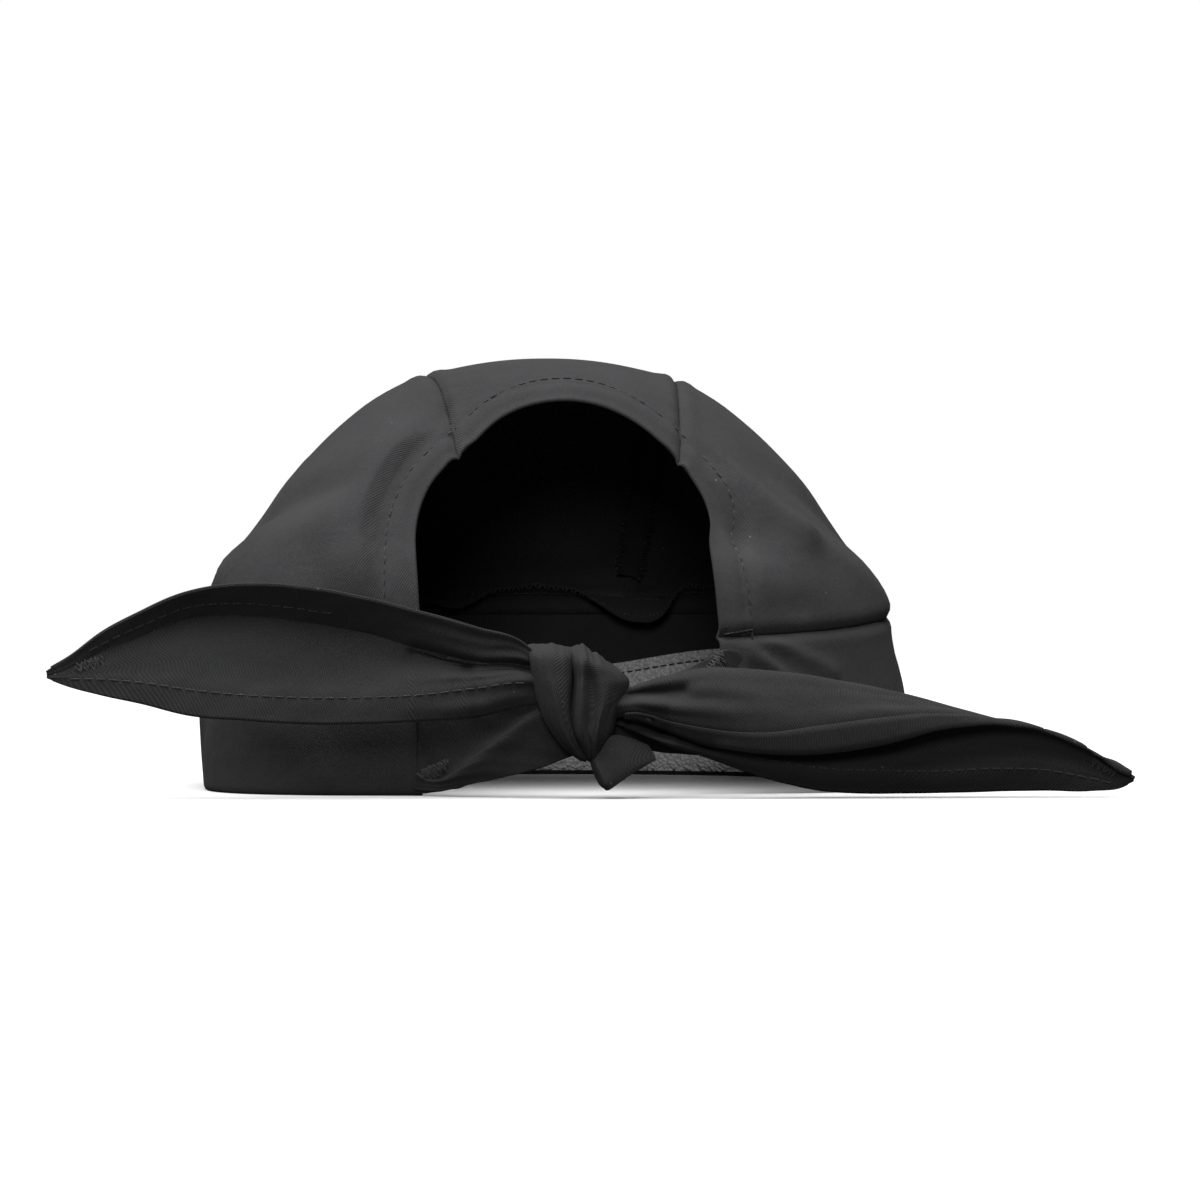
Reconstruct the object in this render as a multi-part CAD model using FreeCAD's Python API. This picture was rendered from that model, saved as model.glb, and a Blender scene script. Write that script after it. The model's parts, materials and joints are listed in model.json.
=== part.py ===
import FreeCAD, Part
import math
import os
from FreeCAD import Vector

os.makedirs("parts", exist_ok=True)

# A tie-back skull cap: a three-panel crown on a deep band, open at the back, where two ties
# meet in a knot and leave two free tails. Millimetres, +Z up. The origin is the middle of the
# head opening on the plane of the band's lower rim. The back opening faces -Y, the forehead +Y.

# head outline at the rim
half_width = 89.0
front_depth = 95.0
back_depth = 82.0
front_squareness = 2.1
back_left_squareness = 4.0
back_right_squareness = 2.8

# heights above the rim
cap_height = 112.6
seam_height_back = 38.0
seam_height_side = 47.0
seam_height_front = 50.0

# shape of the wall
band_lean = 0.055
crown_power = 2.7
ring_points = 48
band_levels = [0.0, 0.35, 0.7, 0.93]
crown_levels = [0.09, 0.23, 0.4, 0.58, 0.74, 0.87, 0.95, 0.985, 0.997]

# cloth
cloth = 0.6
interfacing = 0.4
terry = 2.4
thread = 0.3

# crown panels
strip_half_width_back = 25.0
strip_half_width_top = 33.0
strip_half_width_front = 29.0
crown_seam_allowance = 7.0
band_seam_allowance = 7.0

# opening at the back
opening_half_width = 37.0
crown_over_opening = 14.6
opening_top = cap_height - crown_over_opening
opening_hem_width = 9.0
opening_stitch_inset = 1.5
stitch_width = 0.6
seam_gap = 0.1
opening_reach = 20.0

# sweatband
sweatband_bottom = 1.5
sweatband_top = 31.0
sweatband_back_end = 5.0
sweatband_stitch_height = 28.5

# knot, an egg with a wrap on each side of its front
knot_x = 1.0
knot_standoff = 16.0
knot_y = -back_depth - knot_standoff
knot_z = 22.5
knot_half_width = 11.0
knot_half_depth = 8.0
knot_half_height = 12.5
wrap_thickness = 1.6
wrap_angle = 24.0
corner_left_width = 6.5
corner_right_width = 10.4
corner_left_drop = 7.5
corner_tip_z = 1.8
corner_thickness = 2.4
corner_gap = 0.3

# straps between the band ends and the knot
strap_thickness = 1.2
strap_knot_bottom = 9.0
strap_knot_top = 27.0
strap_knot_reach = 4.4
strap_root_drop = 2.0

# tails
hinge_radius = 4.0
hinge_clearance = 0.9
tail_forward = 4.0
tail_y = knot_y - tail_forward
tail_thickness = 0.6
tail_hem_width = 8.0
tail_stitch_inset = 1.0
left_hinge_z = 26.5
right_hinge_z = 24.0
left_tail_length = 110.0
right_tail_length = 116.0
floor_gap = 0.4

# bar tacks
tack_length = 6.0
tack_width = 1.6
tack_height = {-1: 8.0, 1: 26.0}

far = 300.0
bodies = {}


def save(shape, name):
    """Write one sub-part."""
    if not shape.isValid():
        raise RuntimeError(name + " is not a valid shape")
    shape.exportStep("parts/" + name + ".step")
    print(name, len(shape.Solids), "solid", round(shape.Volume, 1), "mm3")


def plan_radius(angle, depth):
    """Distance from the middle to the rim at an angle, moved in by depth."""
    across = math.cos(angle)
    along = math.sin(angle)
    reach = back_depth
    power = back_right_squareness
    if along >= 0:
        reach = front_depth
        power = front_squareness
    elif across < 0:
        power = back_left_squareness
    width_part = abs(across / (half_width - depth)) ** power
    depth_part = abs(along / (reach - depth)) ** power
    return (width_part + depth_part) ** (-1.0 / power)


def ring(height, share, depth):
    """Closed curve round the cap: the rim's outline shrunk to a share, at a height."""
    points = []
    for step in range(ring_points):
        angle = 2 * math.pi * step / ring_points
        radius = plan_radius(angle, depth) * share
        points.append(Vector(radius * math.cos(angle), radius * math.sin(angle), height))
    curve = Part.BSplineCurve()
    curve.interpolate(Points=points, PeriodicFlag=True, Parameters=list(range(ring_points + 1)))
    return Part.Wire(curve.toShape())


def cap_body(depth):
    """Solid bounded by the cap's skin moved in by depth, from the rim to the crown."""
    key = round(depth, 4)
    if key in bodies:
        return bodies[key]
    rings = []
    for level in band_levels:
        rings.append(ring(seam_height_side * level, 1 - band_lean * level ** 3, depth))
    top = cap_height - depth
    for level in crown_levels:
        height = seam_height_side + (top - seam_height_side) * level
        share = (1 - band_lean) * (1 - level) ** (1 / crown_power)
        rings.append(ring(height, share, depth))
    bodies[key] = Part.makeLoft(rings, True, False)
    return bodies[key]


def layer(near, away):
    """One layer of the cap's wall, between two depths."""
    return cap_body(near).cut(cap_body(away))


def seam_curve(rise):
    """Arc that the seam between band and crown follows in side view, raised by rise."""
    back = Vector(-far, -back_depth, seam_height_back + rise)
    middle = Vector(-far, 0, seam_height_side + rise)
    front = Vector(-far, front_depth, seam_height_front + rise)
    return Part.Arc(back, middle, front).toShape(), back, front


def below_seam(rise):
    """Region under the band seam raised by rise."""
    arc, back, front = seam_curve(rise)
    back_out = Vector(-far, -far, back.z)
    front_out = Vector(-far, far, front.z)
    back_low = Vector(-far, -far, -far)
    front_low = Vector(-far, far, -far)
    edges = [Part.makeLine(back_out, back), arc, Part.makeLine(front, front_out)]
    edges += [Part.makeLine(front_out, front_low), Part.makeLine(front_low, back_low)]
    edges.append(Part.makeLine(back_low, back_out))
    return Part.Face(Part.Wire(edges)).extrude(Vector(2 * far, 0, 0))


def slab(low, high):
    """Everything between two heights."""
    return Part.makeBox(2 * far, 2 * far, high - low, Vector(-far, -far, low))


def opening_region(grow):
    """Arched passage through the back of the cap, with a round head, widened by grow."""
    half = opening_half_width + grow
    spring = opening_top - opening_half_width
    length = far - opening_reach
    legs = Part.makeBox(2 * half, length, far + spring, Vector(-half, -far, -far))
    head = Part.makeCylinder(half, length, Vector(0, -far, spring), Vector(0, 1, 0))
    return legs.fuse(head)


def strip_side(sign, grow):
    """Line that a crown seam follows in plan, moved outwards by grow."""
    back = Vector(sign * (strip_half_width_back + grow), -back_depth, 0)
    top = Vector(sign * (strip_half_width_top + grow), 0, 0)
    front = Vector(sign * (strip_half_width_front + grow), front_depth, 0)
    return Part.Arc(back, top, front).toShape(), back, front


def strip_region(grow):
    """Front-to-back strip of the crown between its two seams, widened by grow."""
    left, left_back, left_front = strip_side(-1, grow)
    right, right_back, right_front = strip_side(1, grow)
    edges = [left, Part.makeLine(left_front, right_front), right]
    edges.append(Part.makeLine(right_back, left_back))
    outline = Part.Wire(Part.__sortEdges__(edges))
    return Part.Face(outline).extrude(Vector(0, 0, far))


def side_solid(shape, sign):
    """The solid of a shape that lies on one side of the middle."""
    for solid in shape.Solids:
        if solid.CenterOfMass.x * sign > 0:
            return solid
    raise RuntimeError("no solid on that side")


def make_crown():
    """Three panels of one cloth layer, cut at the two seams and at the opening."""
    skin = layer(0, cloth).cut(below_seam(0)).cut(opening_region(0))
    save(skin.common(strip_region(0)), "crown_centre_panel")
    sides = skin.cut(strip_region(0))
    save(side_solid(sides, -1), "crown_left_panel")
    save(side_solid(sides, 1), "crown_right_panel")


def make_crown_inside():
    """Turned hem of the opening and the raw seam allowances, all behind the panels."""
    lining = layer(cloth, 2 * cloth).cut(below_seam(0))
    hem = lining.common(opening_region(opening_hem_width)).cut(opening_region(0))
    save(hem, "opening_hem")
    rest = lining.cut(opening_region(opening_hem_width))
    save(rest.common(below_seam(band_seam_allowance)), "band_seam_allowance")
    rest = rest.cut(below_seam(band_seam_allowance))
    half = crown_seam_allowance / 2
    strips = rest.common(strip_region(half)).cut(strip_region(-half))
    save(side_solid(strips, -1), "crown_left_seam_allowance")
    save(side_solid(strips, 1), "crown_right_seam_allowance")


def make_opening_thread():
    """Topstitching round the opening, and a bar tack at each foot of it."""
    skin = layer(-thread, 0).cut(below_seam(0))
    inset = opening_hem_width - opening_stitch_inset
    line = skin.common(opening_region(inset)).cut(opening_region(inset - stitch_width))
    save(line, "opening_topstitch")
    foot = skin.common(below_seam(tack_width)).cut(opening_region(0))
    foot = foot.common(opening_region(inset - stitch_width))
    save(side_solid(foot, -1), "opening_left_bartack")
    save(side_solid(foot, 1), "opening_right_bartack")


def make_band():
    """Outer cloth, stiffener and lining of the band, and the towelling sweatband."""
    stack = [("band_outer", cloth), ("band_interfacing", interfacing), ("band_lining", cloth)]
    depth = 0
    for name, thickness in stack:
        wall = layer(depth, depth + thickness)
        save(wall.common(below_seam(0)).cut(opening_region(0)), name)
        depth += thickness
    front = Part.makeBox(2 * far, far, far, Vector(-far, sweatband_back_end, -1))
    towel = layer(depth, depth + terry).common(slab(sweatband_bottom, sweatband_top))
    save(towel.common(front), "sweatband")
    seam = layer(depth + terry, depth + terry + thread)
    seam = seam.common(slab(sweatband_stitch_height, sweatband_stitch_height + stitch_width))
    save(seam.common(front), "sweatband_stitching")


def egg(grow):
    """The knot's rounded body, grown outwards."""
    radius = knot_half_width + grow
    ball = Part.makeSphere(1.0)
    sizes = FreeCAD.Matrix()
    sizes.scale(radius, knot_half_depth + grow, knot_half_height + grow)
    body = ball.transformGeometry(sizes)
    body.translate(Vector(knot_x, knot_y, knot_z))
    return body


def wrap_side(sign):
    """Half space on one side of the slanting crease between the knot's two wraps."""
    block = Part.makeBox(far, 2 * far, 2 * far, Vector(0, -far, -far))
    if sign < 0:
        block = Part.makeBox(far, 2 * far, 2 * far, Vector(-far, -far, -far))
    block.rotate(Vector(0, 0, 0), Vector(0, 1, 0), -wrap_angle)
    block.translate(Vector(knot_x, knot_y, knot_z))
    return block


def strap_section(x, y, bottom, top, raise_by):
    """Thin upright rectangle across a strap, its outer side moved by raise_by."""
    near = y - strap_thickness / 2 + raise_by
    away = y + strap_thickness / 2
    corners = [Vector(x, near, bottom), Vector(x, away, bottom), Vector(x, away, top)]
    corners += [Vector(x, near, top), Vector(x, near, bottom)]
    return Part.makePolygon(corners)


def rim_y(x, depth):
    """Where the back of the band stands at a place across."""
    sign = -1 if x < 0 else 1
    low = math.radians(270 + sign * 1)
    high = math.radians(270 + sign * 80)
    for _ in range(60):
        middle = (low + high) / 2
        if abs(plan_radius(middle, depth) * math.cos(middle)) < abs(x):
            low = middle
        else:
            high = middle
    return plan_radius(low, depth) * math.sin(low)


def strap_loft(sign, raise_by):
    """Flat tie from a band end into the knot, narrowing as it is gathered."""
    root_x = sign * opening_half_width
    root_y = rim_y(root_x, (2 * cloth + interfacing) / 2)
    root = strap_section(root_x, root_y, 0, seam_height_back - strap_root_drop, raise_by)
    knot_end_x = knot_x + sign * strap_knot_reach
    tip = strap_section(knot_end_x, knot_y, strap_knot_bottom, strap_knot_top, raise_by)
    return Part.makeLoft([root, tip], True, True)


def strap_tack(sign):
    """Clump of stitches that holds a strap to the end of the band."""
    low = tack_height[sign]
    root_x = sign * opening_half_width
    x = root_x - sign * tack_length
    start = Vector(min(x, x + sign * tack_length / 2), -far, low)
    column = Part.makeBox(tack_length / 2, 2 * far, tack_length, start)
    raised = strap_loft(sign, -thread)
    return raised.cut(strap_loft(sign, 0)).common(column)


def make_knot():
    """Gathered core, two wraps over it and the square corner that hangs below."""
    core = egg(0)
    covered = egg(wrap_thickness)
    save(core, "knot_core")
    wrap = covered.cut(core)
    save(wrap.common(wrap_side(-1)), "knot_left_wrap")
    save(wrap.common(wrap_side(1)), "knot_right_wrap")
    tip = Vector(knot_x, knot_y, corner_tip_z)
    left = Vector(knot_x - corner_left_width, knot_y, knot_z - corner_left_drop)
    right = Vector(knot_x + corner_right_width, knot_y, knot_z - knot_half_height)
    face = Part.Face(Part.makePolygon([left, tip, right, left]))
    face.translate(Vector(0, -strap_thickness / 2 - corner_gap - corner_thickness, 0))
    save(face.extrude(Vector(0, corner_thickness, 0)).cut(covered), "knot_lower_corner")
    for sign, side in ((-1, "left"), (1, "right")):
        save(strap_loft(sign, 0).cut(covered), side + "_strap")
        save(strap_tack(sign), side + "_strap_bartack")


def tail_outline(side):
    """Stations along a tail, from its hinge: distance, bottom, top and hollow."""
    if side == "left":
        return [
            (0.0, -4.0, 4.0, 0.6),
            (12.0, -6.8, 10.0, 2.0),
            (30.0, -7.8, 16.5, 4.5),
            (56.0, -7.8, 23.0, 6.0),
            (76.0, -6.8, 22.0, 5.5),
            (95.0, -3.0, 14.5, 3.5),
            (left_tail_length, 1.2, 4.6, 0.8),
        ]
    return [
        (0.0, -4.0, 4.0, 0.6),
        (12.0, -13.2, 6.6, 2.0),
        (30.0, -20.8, 6.2, 3.5),
        (54.0, -right_hinge_z + floor_gap, 4.0, 4.5),
        (74.0, -right_hinge_z + floor_gap, -0.5, 4.0),
        (97.0, -right_hinge_z + floor_gap, -8.5, 2.5),
        (right_tail_length, -22.5, -18.5, 0.8),
    ]


def hinge_x(sign):
    """Hinge line of a tail, beside the knot."""
    reach = knot_half_width + wrap_thickness + hinge_clearance + hinge_radius
    return knot_x + sign * reach


def hollow_at(half, hollow, offset):
    """How far a tail's face stands back at a height offset from its middle."""
    radius = (half ** 2 + hollow ** 2) / (2 * hollow)
    return hollow - radius + math.sqrt(radius ** 2 - offset ** 2)


def tail_section(x, middle, half, hollow, low, high, near, away):
    """Thin strip of a tail's hollow section, between two offsets from its middle."""
    rows = []
    for depth in (near, away):
        row = []
        for offset in (low, (low + high) / 2, high):
            y = tail_y + depth + hollow_at(half, hollow, offset)
            row.append(Vector(x, y, middle + offset))
        rows.append(row)
    front = Part.Arc(*rows[0]).toShape()
    back = Part.Arc(*rows[1]).toShape()
    foot = Part.makeLine(rows[0][0], rows[1][0])
    head = Part.makeLine(rows[0][2], rows[1][2])
    return Part.Wire(Part.__sortEdges__([front, head, back, foot]))


def tail_sheet(sign, side, hinge_z, near, away):
    """The whole cloth of a tail, between two depths behind its face."""
    sections = []
    for distance, bottom, top, hollow in tail_outline(side):
        x = hinge_x(sign) + sign * distance
        half = (top - bottom) / 2
        middle = hinge_z + (bottom + top) / 2
        sections.append(tail_section(x, middle, half, hollow, -half, half, near, away))
    return Part.makeLoft(sections, True, False)


def tail_strip(sign, side, hinge_z, edge, inset, width, near, away):
    """Strip along a long edge of a tail: edge is 1 for the upper one, -1 for the lower."""
    sections = []
    for distance, bottom, top, hollow in tail_outline(side):
        half = (top - bottom) / 2
        outer = half - inset
        inner = max(outer - width, seam_gap)
        if outer < inner + stitch_width / 2:
            continue
        x = hinge_x(sign) + sign * distance
        middle = hinge_z + (bottom + top) / 2
        low, high = sorted((edge * inner, edge * outer))
        sections.append(tail_section(x, middle, half, hollow, low, high, near, away))
    return Part.makeLoft(sections, True, False)


def make_tail(sign, side, hinge_z):
    """Free end of a tie: the cloth, its turned hems, their stitching and a bar tack."""
    place = (sign, side, hinge_z)
    save(tail_sheet(*place, 0, tail_thickness), side + "_tail")
    near = tail_thickness + seam_gap
    away = near + tail_thickness
    hems = [tail_strip(*place, edge, 0, tail_hem_width, near, away) for edge in (1, -1)]
    save(Part.makeCompound(hems), side + "_tail_hem")
    inset = tail_hem_width - tail_stitch_inset
    near = -thread - seam_gap
    lines = [tail_strip(*place, edge, inset, stitch_width, near, -seam_gap) for edge in (1, -1)]
    save(Part.makeCompound(lines), side + "_tail_stitching")
    distance, bottom, top, _ = tail_outline(side)[-1]
    x = hinge_x(sign) + sign * (distance - tack_length)
    tack_start = Vector(min(x, x + sign * tack_length), -far, hinge_z + (bottom + top) / 2)
    tack = Part.makeBox(tack_length - tack_width, 2 * far, tack_width, tack_start)
    save(tail_sheet(*place, -thread, 0).common(tack), side + "_tail_bartack")


def main():
    make_crown()
    make_crown_inside()
    make_opening_thread()
    make_band()
    make_knot()
    make_tail(-1, "left", left_hinge_z)
    make_tail(1, "right", right_hinge_z)


main()
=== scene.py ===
"""A tie-back skull cap in black twill: three crown panels on a deep band, open at the back, with
two ties knotted below the opening. Shapes are worked out in millimetres and set in metres."""

import json
import math

import bmesh
import bpy
import numpy as np
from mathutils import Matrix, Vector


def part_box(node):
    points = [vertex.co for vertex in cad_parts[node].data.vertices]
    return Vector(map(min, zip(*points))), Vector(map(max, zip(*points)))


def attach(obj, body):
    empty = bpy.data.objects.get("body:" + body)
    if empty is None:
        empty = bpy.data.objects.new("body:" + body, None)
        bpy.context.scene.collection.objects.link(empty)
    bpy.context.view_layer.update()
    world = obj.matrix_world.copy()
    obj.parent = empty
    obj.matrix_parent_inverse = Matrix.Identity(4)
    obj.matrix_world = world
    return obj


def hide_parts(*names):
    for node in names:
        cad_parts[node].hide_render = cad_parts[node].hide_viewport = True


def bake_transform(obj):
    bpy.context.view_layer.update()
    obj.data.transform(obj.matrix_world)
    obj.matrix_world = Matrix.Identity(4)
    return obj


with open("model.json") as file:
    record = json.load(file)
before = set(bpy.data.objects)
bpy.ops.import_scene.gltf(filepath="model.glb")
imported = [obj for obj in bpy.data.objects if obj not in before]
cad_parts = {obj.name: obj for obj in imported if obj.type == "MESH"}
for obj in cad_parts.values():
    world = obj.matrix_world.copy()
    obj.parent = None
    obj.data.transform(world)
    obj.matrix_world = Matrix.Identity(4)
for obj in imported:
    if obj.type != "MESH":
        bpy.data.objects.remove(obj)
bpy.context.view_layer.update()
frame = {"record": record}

bl_info = {
    "name": "Tie-back skull cap",
    "version": (1, 0, 0),
    "blender": (4, 5, 0),
    "location": "3D View > Sidebar > Skull cap",
    "description": "Makes the cloth pieces of a tie-back skull cap round its frame",
    "category": "Add Mesh",
}

MM = 0.001


def box_mm(node):
    """Lowest and highest corners of a frame node, in millimetres."""
    low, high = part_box(node)
    return np.array(low) / MM, np.array(high) / MM


def joint_mm(name):
    """Place of a joint, in millimetres."""
    joints = frame["record"]["behaviour"]["joints"]
    return np.array(next(j for j in joints if j["name"] == name)["pos_m"]) / MM


# the cap's outline and heights, from the frame
BAND_BULGE = 1.01
HALF_WIDTH = box_mm("band_outer")[1][0] / BAND_BULGE
FRONT = box_mm("band_outer")[1][1] / BAND_BULGE
BACK = 82.0
HEIGHT = box_mm("crown_centre_panel")[1][2]
SEAM_BACK, SEAM_SIDE, SEAM_FRONT = 38.0, 47.0, 50.0
KNOT = (box_mm("knot_core")[0] + box_mm("knot_core")[1]) / 2
LEFT_HINGE = joint_mm("left_tail_lift")
RIGHT_HINGE = joint_mm("right_tail_lift")

# squareness of the rim's corners
SQUARE_FRONT, SQUARE_LEFT, SQUARE_RIGHT, SQUARE_CROWN = 2.1, 4.0, 2.8, 2.2

# the crown's wall seen from behind: steepness in degrees from the band seam, and reach
STEEPNESS = [0, 10, 16, 21, 28, 36, 44, 52, 60, 66, 75, 90]
REACH = [0.975, 0.976, 0.960, 0.938, 0.925, 0.932, 0.942, 0.963, 0.990, 1.003, 1.002, 1.0]
BAND_HEIGHTS = [0, 0.25, 0.5, 0.77, 1]
BAND_REACH = [0.995, 1.006, BAND_BULGE, 0.992, 0.975]
CROWN_LEAN = 1.2

# how deep the crown's folds are drawn, and how much darker the ties' copy of the cap's twill is: painted
# shade for the ties and knot, which sit in shade
FOLD_SCALE = 1.35
TIE_PAINTED_SHADE = 0.7

# the tie draws the band's right end up: by how much, and between which angles round the cap
RIGHT_END_LIFT = 9.0
RIGHT_END_ANGLES = (-66, -44)

# opening
OPENING_HALF = 37.0
OPENING_SPRING = 61.0
OPENING_LEG = OPENING_SPRING - SEAM_BACK

# distances from a sewn edge where the cloth's surface changes quickly
EDGE_MARKS = np.array([0, 0.4, 0.8, 1.3, 2.0, 2.8, 3.7, 4.8, 5.9, 6.8, 7.4, 8.2, 9.0, 9.7, 10.4, 11.2])
PLAIN_STEP = 1.7


class SkullCapSizes(bpy.types.PropertyGroup):
    """Sizes that a maker would change."""

    cloth: bpy.props.FloatProperty(
        name="Cloth", description="Thickness of the twill", default=0.00045, unit="LENGTH"
    )
    stitch_pitch: bpy.props.FloatProperty(
        name="Stitch pitch", description="From one stitch to the next", default=0.003, unit="LENGTH"
    )
    stitch_length: bpy.props.FloatProperty(
        name="Stitch length", description="Thread seen of each stitch", default=0.0023, unit="LENGTH"
    )
    thread: bpy.props.FloatProperty(
        name="Thread", description="Radius of the sewing thread", default=0.00019, unit="LENGTH"
    )
    terry: bpy.props.FloatProperty(
        name="Towelling", description="Thickness of the sweatband", default=0.0022, unit="LENGTH"
    )
    twill_pitch: bpy.props.FloatProperty(
        name="Twill rib", description="Width of one rib of the twill", default=0.00055, unit="LENGTH"
    )
    fold_strength: bpy.props.FloatProperty(
        name="Folds", description="Depth of folds and creases, 1 as worn", default=1.0, min=0, max=2
    )


class SkullCapColours(bpy.types.PropertyGroup):
    """Colours that a maker would change."""

    twill: bpy.props.FloatVectorProperty(
        name="Twill", description="Cap cloth", default=(0.043, 0.043, 0.045), subtype="COLOR"
    )
    # the lining is the cap's twill made darker as painted shade for the hems, seam edges and lining seen
    # inside the cap
    lining: bpy.props.FloatVectorProperty(
        name="Lining", description="Wrong side and hems", default=(0.034, 0.034, 0.036), subtype="COLOR"
    )
    thread: bpy.props.FloatVectorProperty(
        name="Thread", description="Sewing thread", default=(0.012, 0.012, 0.013), subtype="COLOR"
    )
    tie_thread: bpy.props.FloatVectorProperty(
        name="Tie thread", description="Thread on the ties", default=(0.034, 0.034, 0.036), subtype="COLOR"
    )
    towelling: bpy.props.FloatVectorProperty(
        name="Towelling", description="Sweatband", default=(0.9, 0.9, 0.9), subtype="COLOR"
    )
    stiffener: bpy.props.FloatVectorProperty(
        name="Stiffener", description="Band's inner layer", default=(0.12, 0.12, 0.12), subtype="COLOR"
    )


def size(name):
    """One of the sizes, in millimetres."""
    return getattr(bpy.context.scene.skull_cap_sizes, name) / MM


def fold_strength():
    """Depth of the folds, 1 as worn."""
    return bpy.context.scene.skull_cap_sizes.fold_strength


# ---------------------------------------------------------------- lines and grids


def curve_through(where, places, values):
    """Smooth curve through a few points: between two neighbours a cubic that leaves each with the
    mean slope found there. Values may be numbers, points or whole rows of points."""
    places = np.asarray(places, float)
    values = np.asarray(values, float)
    where = np.asarray(where, float)
    slopes = np.gradient(values, places, axis=0)
    index = np.clip(np.searchsorted(places, where) - 1, 0, len(places) - 2)
    extra = (1,) * (values.ndim - 1)
    gap = (places[index + 1] - places[index]).reshape(where.shape + extra)
    part = (where - places[index]).reshape(where.shape + extra) / gap
    part = np.clip(part, 0, 1)
    start = values[index] * (2 * part**3 - 3 * part**2 + 1) + values[index + 1] * (3 * part**2 - 2 * part**3)
    leave = slopes[index] * (part**3 - 2 * part**2 + part)
    arrive = slopes[index + 1] * (part**3 - part**2)
    return start + gap * (leave + arrive)


def along_line(line):
    """Distance travelled at each point of a line."""
    return np.concatenate([[0], np.cumsum(np.linalg.norm(np.diff(line, axis=0), axis=1))])


def at_shares(line, shares):
    """Points of a line at shares of its length."""
    travel = along_line(line)
    wanted = np.asarray(shares) * travel[-1]
    return np.stack([np.interp(wanted, travel, line[:, k]) for k in range(3)], -1)


def edge_shares(length, near, far, step):
    """Shares of a length that lie close together at its ends: near and far are distances from
    the first and the last end."""
    count = max(int((length - near[-1] - far[-1]) / step), 3)
    middle = np.linspace(near[-1], length - far[-1], count)
    return np.concatenate([near[:-1], middle, length - far[-2::-1]]) / length


def bell(distance, width):
    """1 at no distance, falling off like a bell."""
    return np.exp(-((distance / width) ** 2))


def ease(value, low, high):
    """0 below low, 1 above high and a smooth step between."""
    part = np.clip((value - low) / (high - low), 0, 1)
    return part * part * (3 - 2 * part)


def unit(vectors):
    """Vectors v / |v|, of length 1."""
    return vectors / np.maximum(np.linalg.norm(vectors, axis=-1, keepdims=True), 1e-9)


def to_line(points, line):
    """Distance of each point from a line, and how far along it the nearest place is."""
    travel = along_line(line)
    count = max(int(travel[-1] / 0.6), 2)
    fine = at_shares(line, np.linspace(0, 1, count))
    flat = points.reshape(-1, 3)
    square = (flat**2).sum(1)[:, None] + (fine**2).sum(1)[None] - 2 * flat @ fine.T
    nearest = square.argmin(1)
    distance = np.sqrt(np.maximum(square[np.arange(len(flat)), nearest], 0))
    along = nearest * travel[-1] / (count - 1)
    return distance.reshape(points.shape[:-1]), along.reshape(points.shape[:-1])


def coons(bottom, top, left, right, across, up):
    """Patch between four border lines: the two ruled surfaces added, less the corners' share.
    bottom and top run the same way, and so do left and right."""
    low, high = at_shares(bottom, across), at_shares(top, across)
    first, last = at_shares(left, up), at_shares(right, up)
    u, v = across[None, :, None], up[:, None, None]
    ruled = (1 - v) * low[None] + v * high[None] + (1 - u) * first[:, None] + u * last[:, None]
    start = (1 - u) * low[0] + u * low[-1]
    end = (1 - u) * high[0] + u * high[-1]
    return ruled - (1 - v) * start - v * end


def grid_normals(grid, toward):
    """Unit normals of a grid of points, on the side that toward points to."""
    normal = np.cross(np.gradient(grid, axis=1), np.gradient(grid, axis=0))
    long = np.linalg.norm(normal, axis=-1, keepdims=True)
    toward = np.broadcast_to(toward, grid.shape)
    normal = np.where(long > 1e-7, normal / np.maximum(long, 1e-7), 0)
    if (normal * toward).sum() < 0:
        normal = -normal
    return np.where(long > 1e-7, normal, unit(toward))


def net(stations, rows, columns, count):
    """Surface through a net of points. rows holds, for each station along X, the (y, z) of every
    point across. Both ways a smooth curve goes through them; gives (count, columns, 3)."""
    rows = np.asarray(rows, float)
    stations = np.asarray(stations, float)
    order = np.argsort(stations)
    x = np.linspace(stations[0], stations[-1], columns)
    across = curve_through(x, stations[order], rows[order])
    places = np.arange(rows.shape[1])
    fine = curve_through(np.linspace(0, places[-1], count), places, across.swapaxes(0, 1))
    return np.dstack([np.broadcast_to(x, (count, columns)), fine])


# ---------------------------------------------------------------- the cap's body


def plan_radius(angle, roundness=0.0):
    """Distance from the middle to the rim: a rounded rectangle |x/a|^n + |y/b|^n = 1, whose
    squareness n differs in front and at the two back corners and fades with roundness."""
    across, along = np.abs(np.cos(angle)), np.sin(angle)
    depth = np.where(along >= 0, FRONT, BACK)
    behind = np.where(np.cos(angle) < 0, SQUARE_LEFT, SQUARE_RIGHT)
    power = np.where(along >= 0, SQUARE_FRONT, behind)
    power = SQUARE_CROWN + (power - SQUARE_CROWN) * (1 - roundness)
    return ((across / HALF_WIDTH) ** power + (np.abs(along) / depth) ** power) ** (-1 / power)


def seam_height(y):
    """Height of the seam between band and crown: a parabola through its back, side and front."""
    back = (SEAM_BACK - SEAM_SIDE) / (-BACK)
    front = (SEAM_FRONT - SEAM_SIDE) / FRONT
    bend = (front - back) / (FRONT + BACK)
    slope = front - bend * FRONT
    return SEAM_SIDE + slope * y + bend * y**2


def on_crown(points):
    """Points moved onto the crown along rays from the middle of the cap at the seam's height."""
    rise = points[..., 2] - SEAM_BACK
    flat = np.hypot(points[..., 0], points[..., 1])
    angle = np.arctan2(points[..., 1], points[..., 0])
    lift = np.arctan2(rise, flat)
    across = flat / plan_radius(angle, ease(lift, 0.1, 1.3) * 0.85)
    up = rise / (HEIGHT - SEAM_BACK)
    steep = np.degrees(np.arctan2(up, across))
    scale = curve_through(np.clip(steep, 0, 90), STEEPNESS, REACH) / np.hypot(across, up)
    middle = np.array([0, 0, SEAM_BACK])
    return middle + (points - middle) * scale[..., None]


def outward(points):
    """Direction away from the cap, the slope of an egg round it."""
    rise = np.maximum(points[..., 2] - SEAM_BACK, 0) / (HEIGHT - SEAM_BACK) ** 2
    x, y = points[..., 0] / HALF_WIDTH**2, points[..., 1] / FRONT**2
    return unit(np.stack([x, y, rise], -1))


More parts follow.
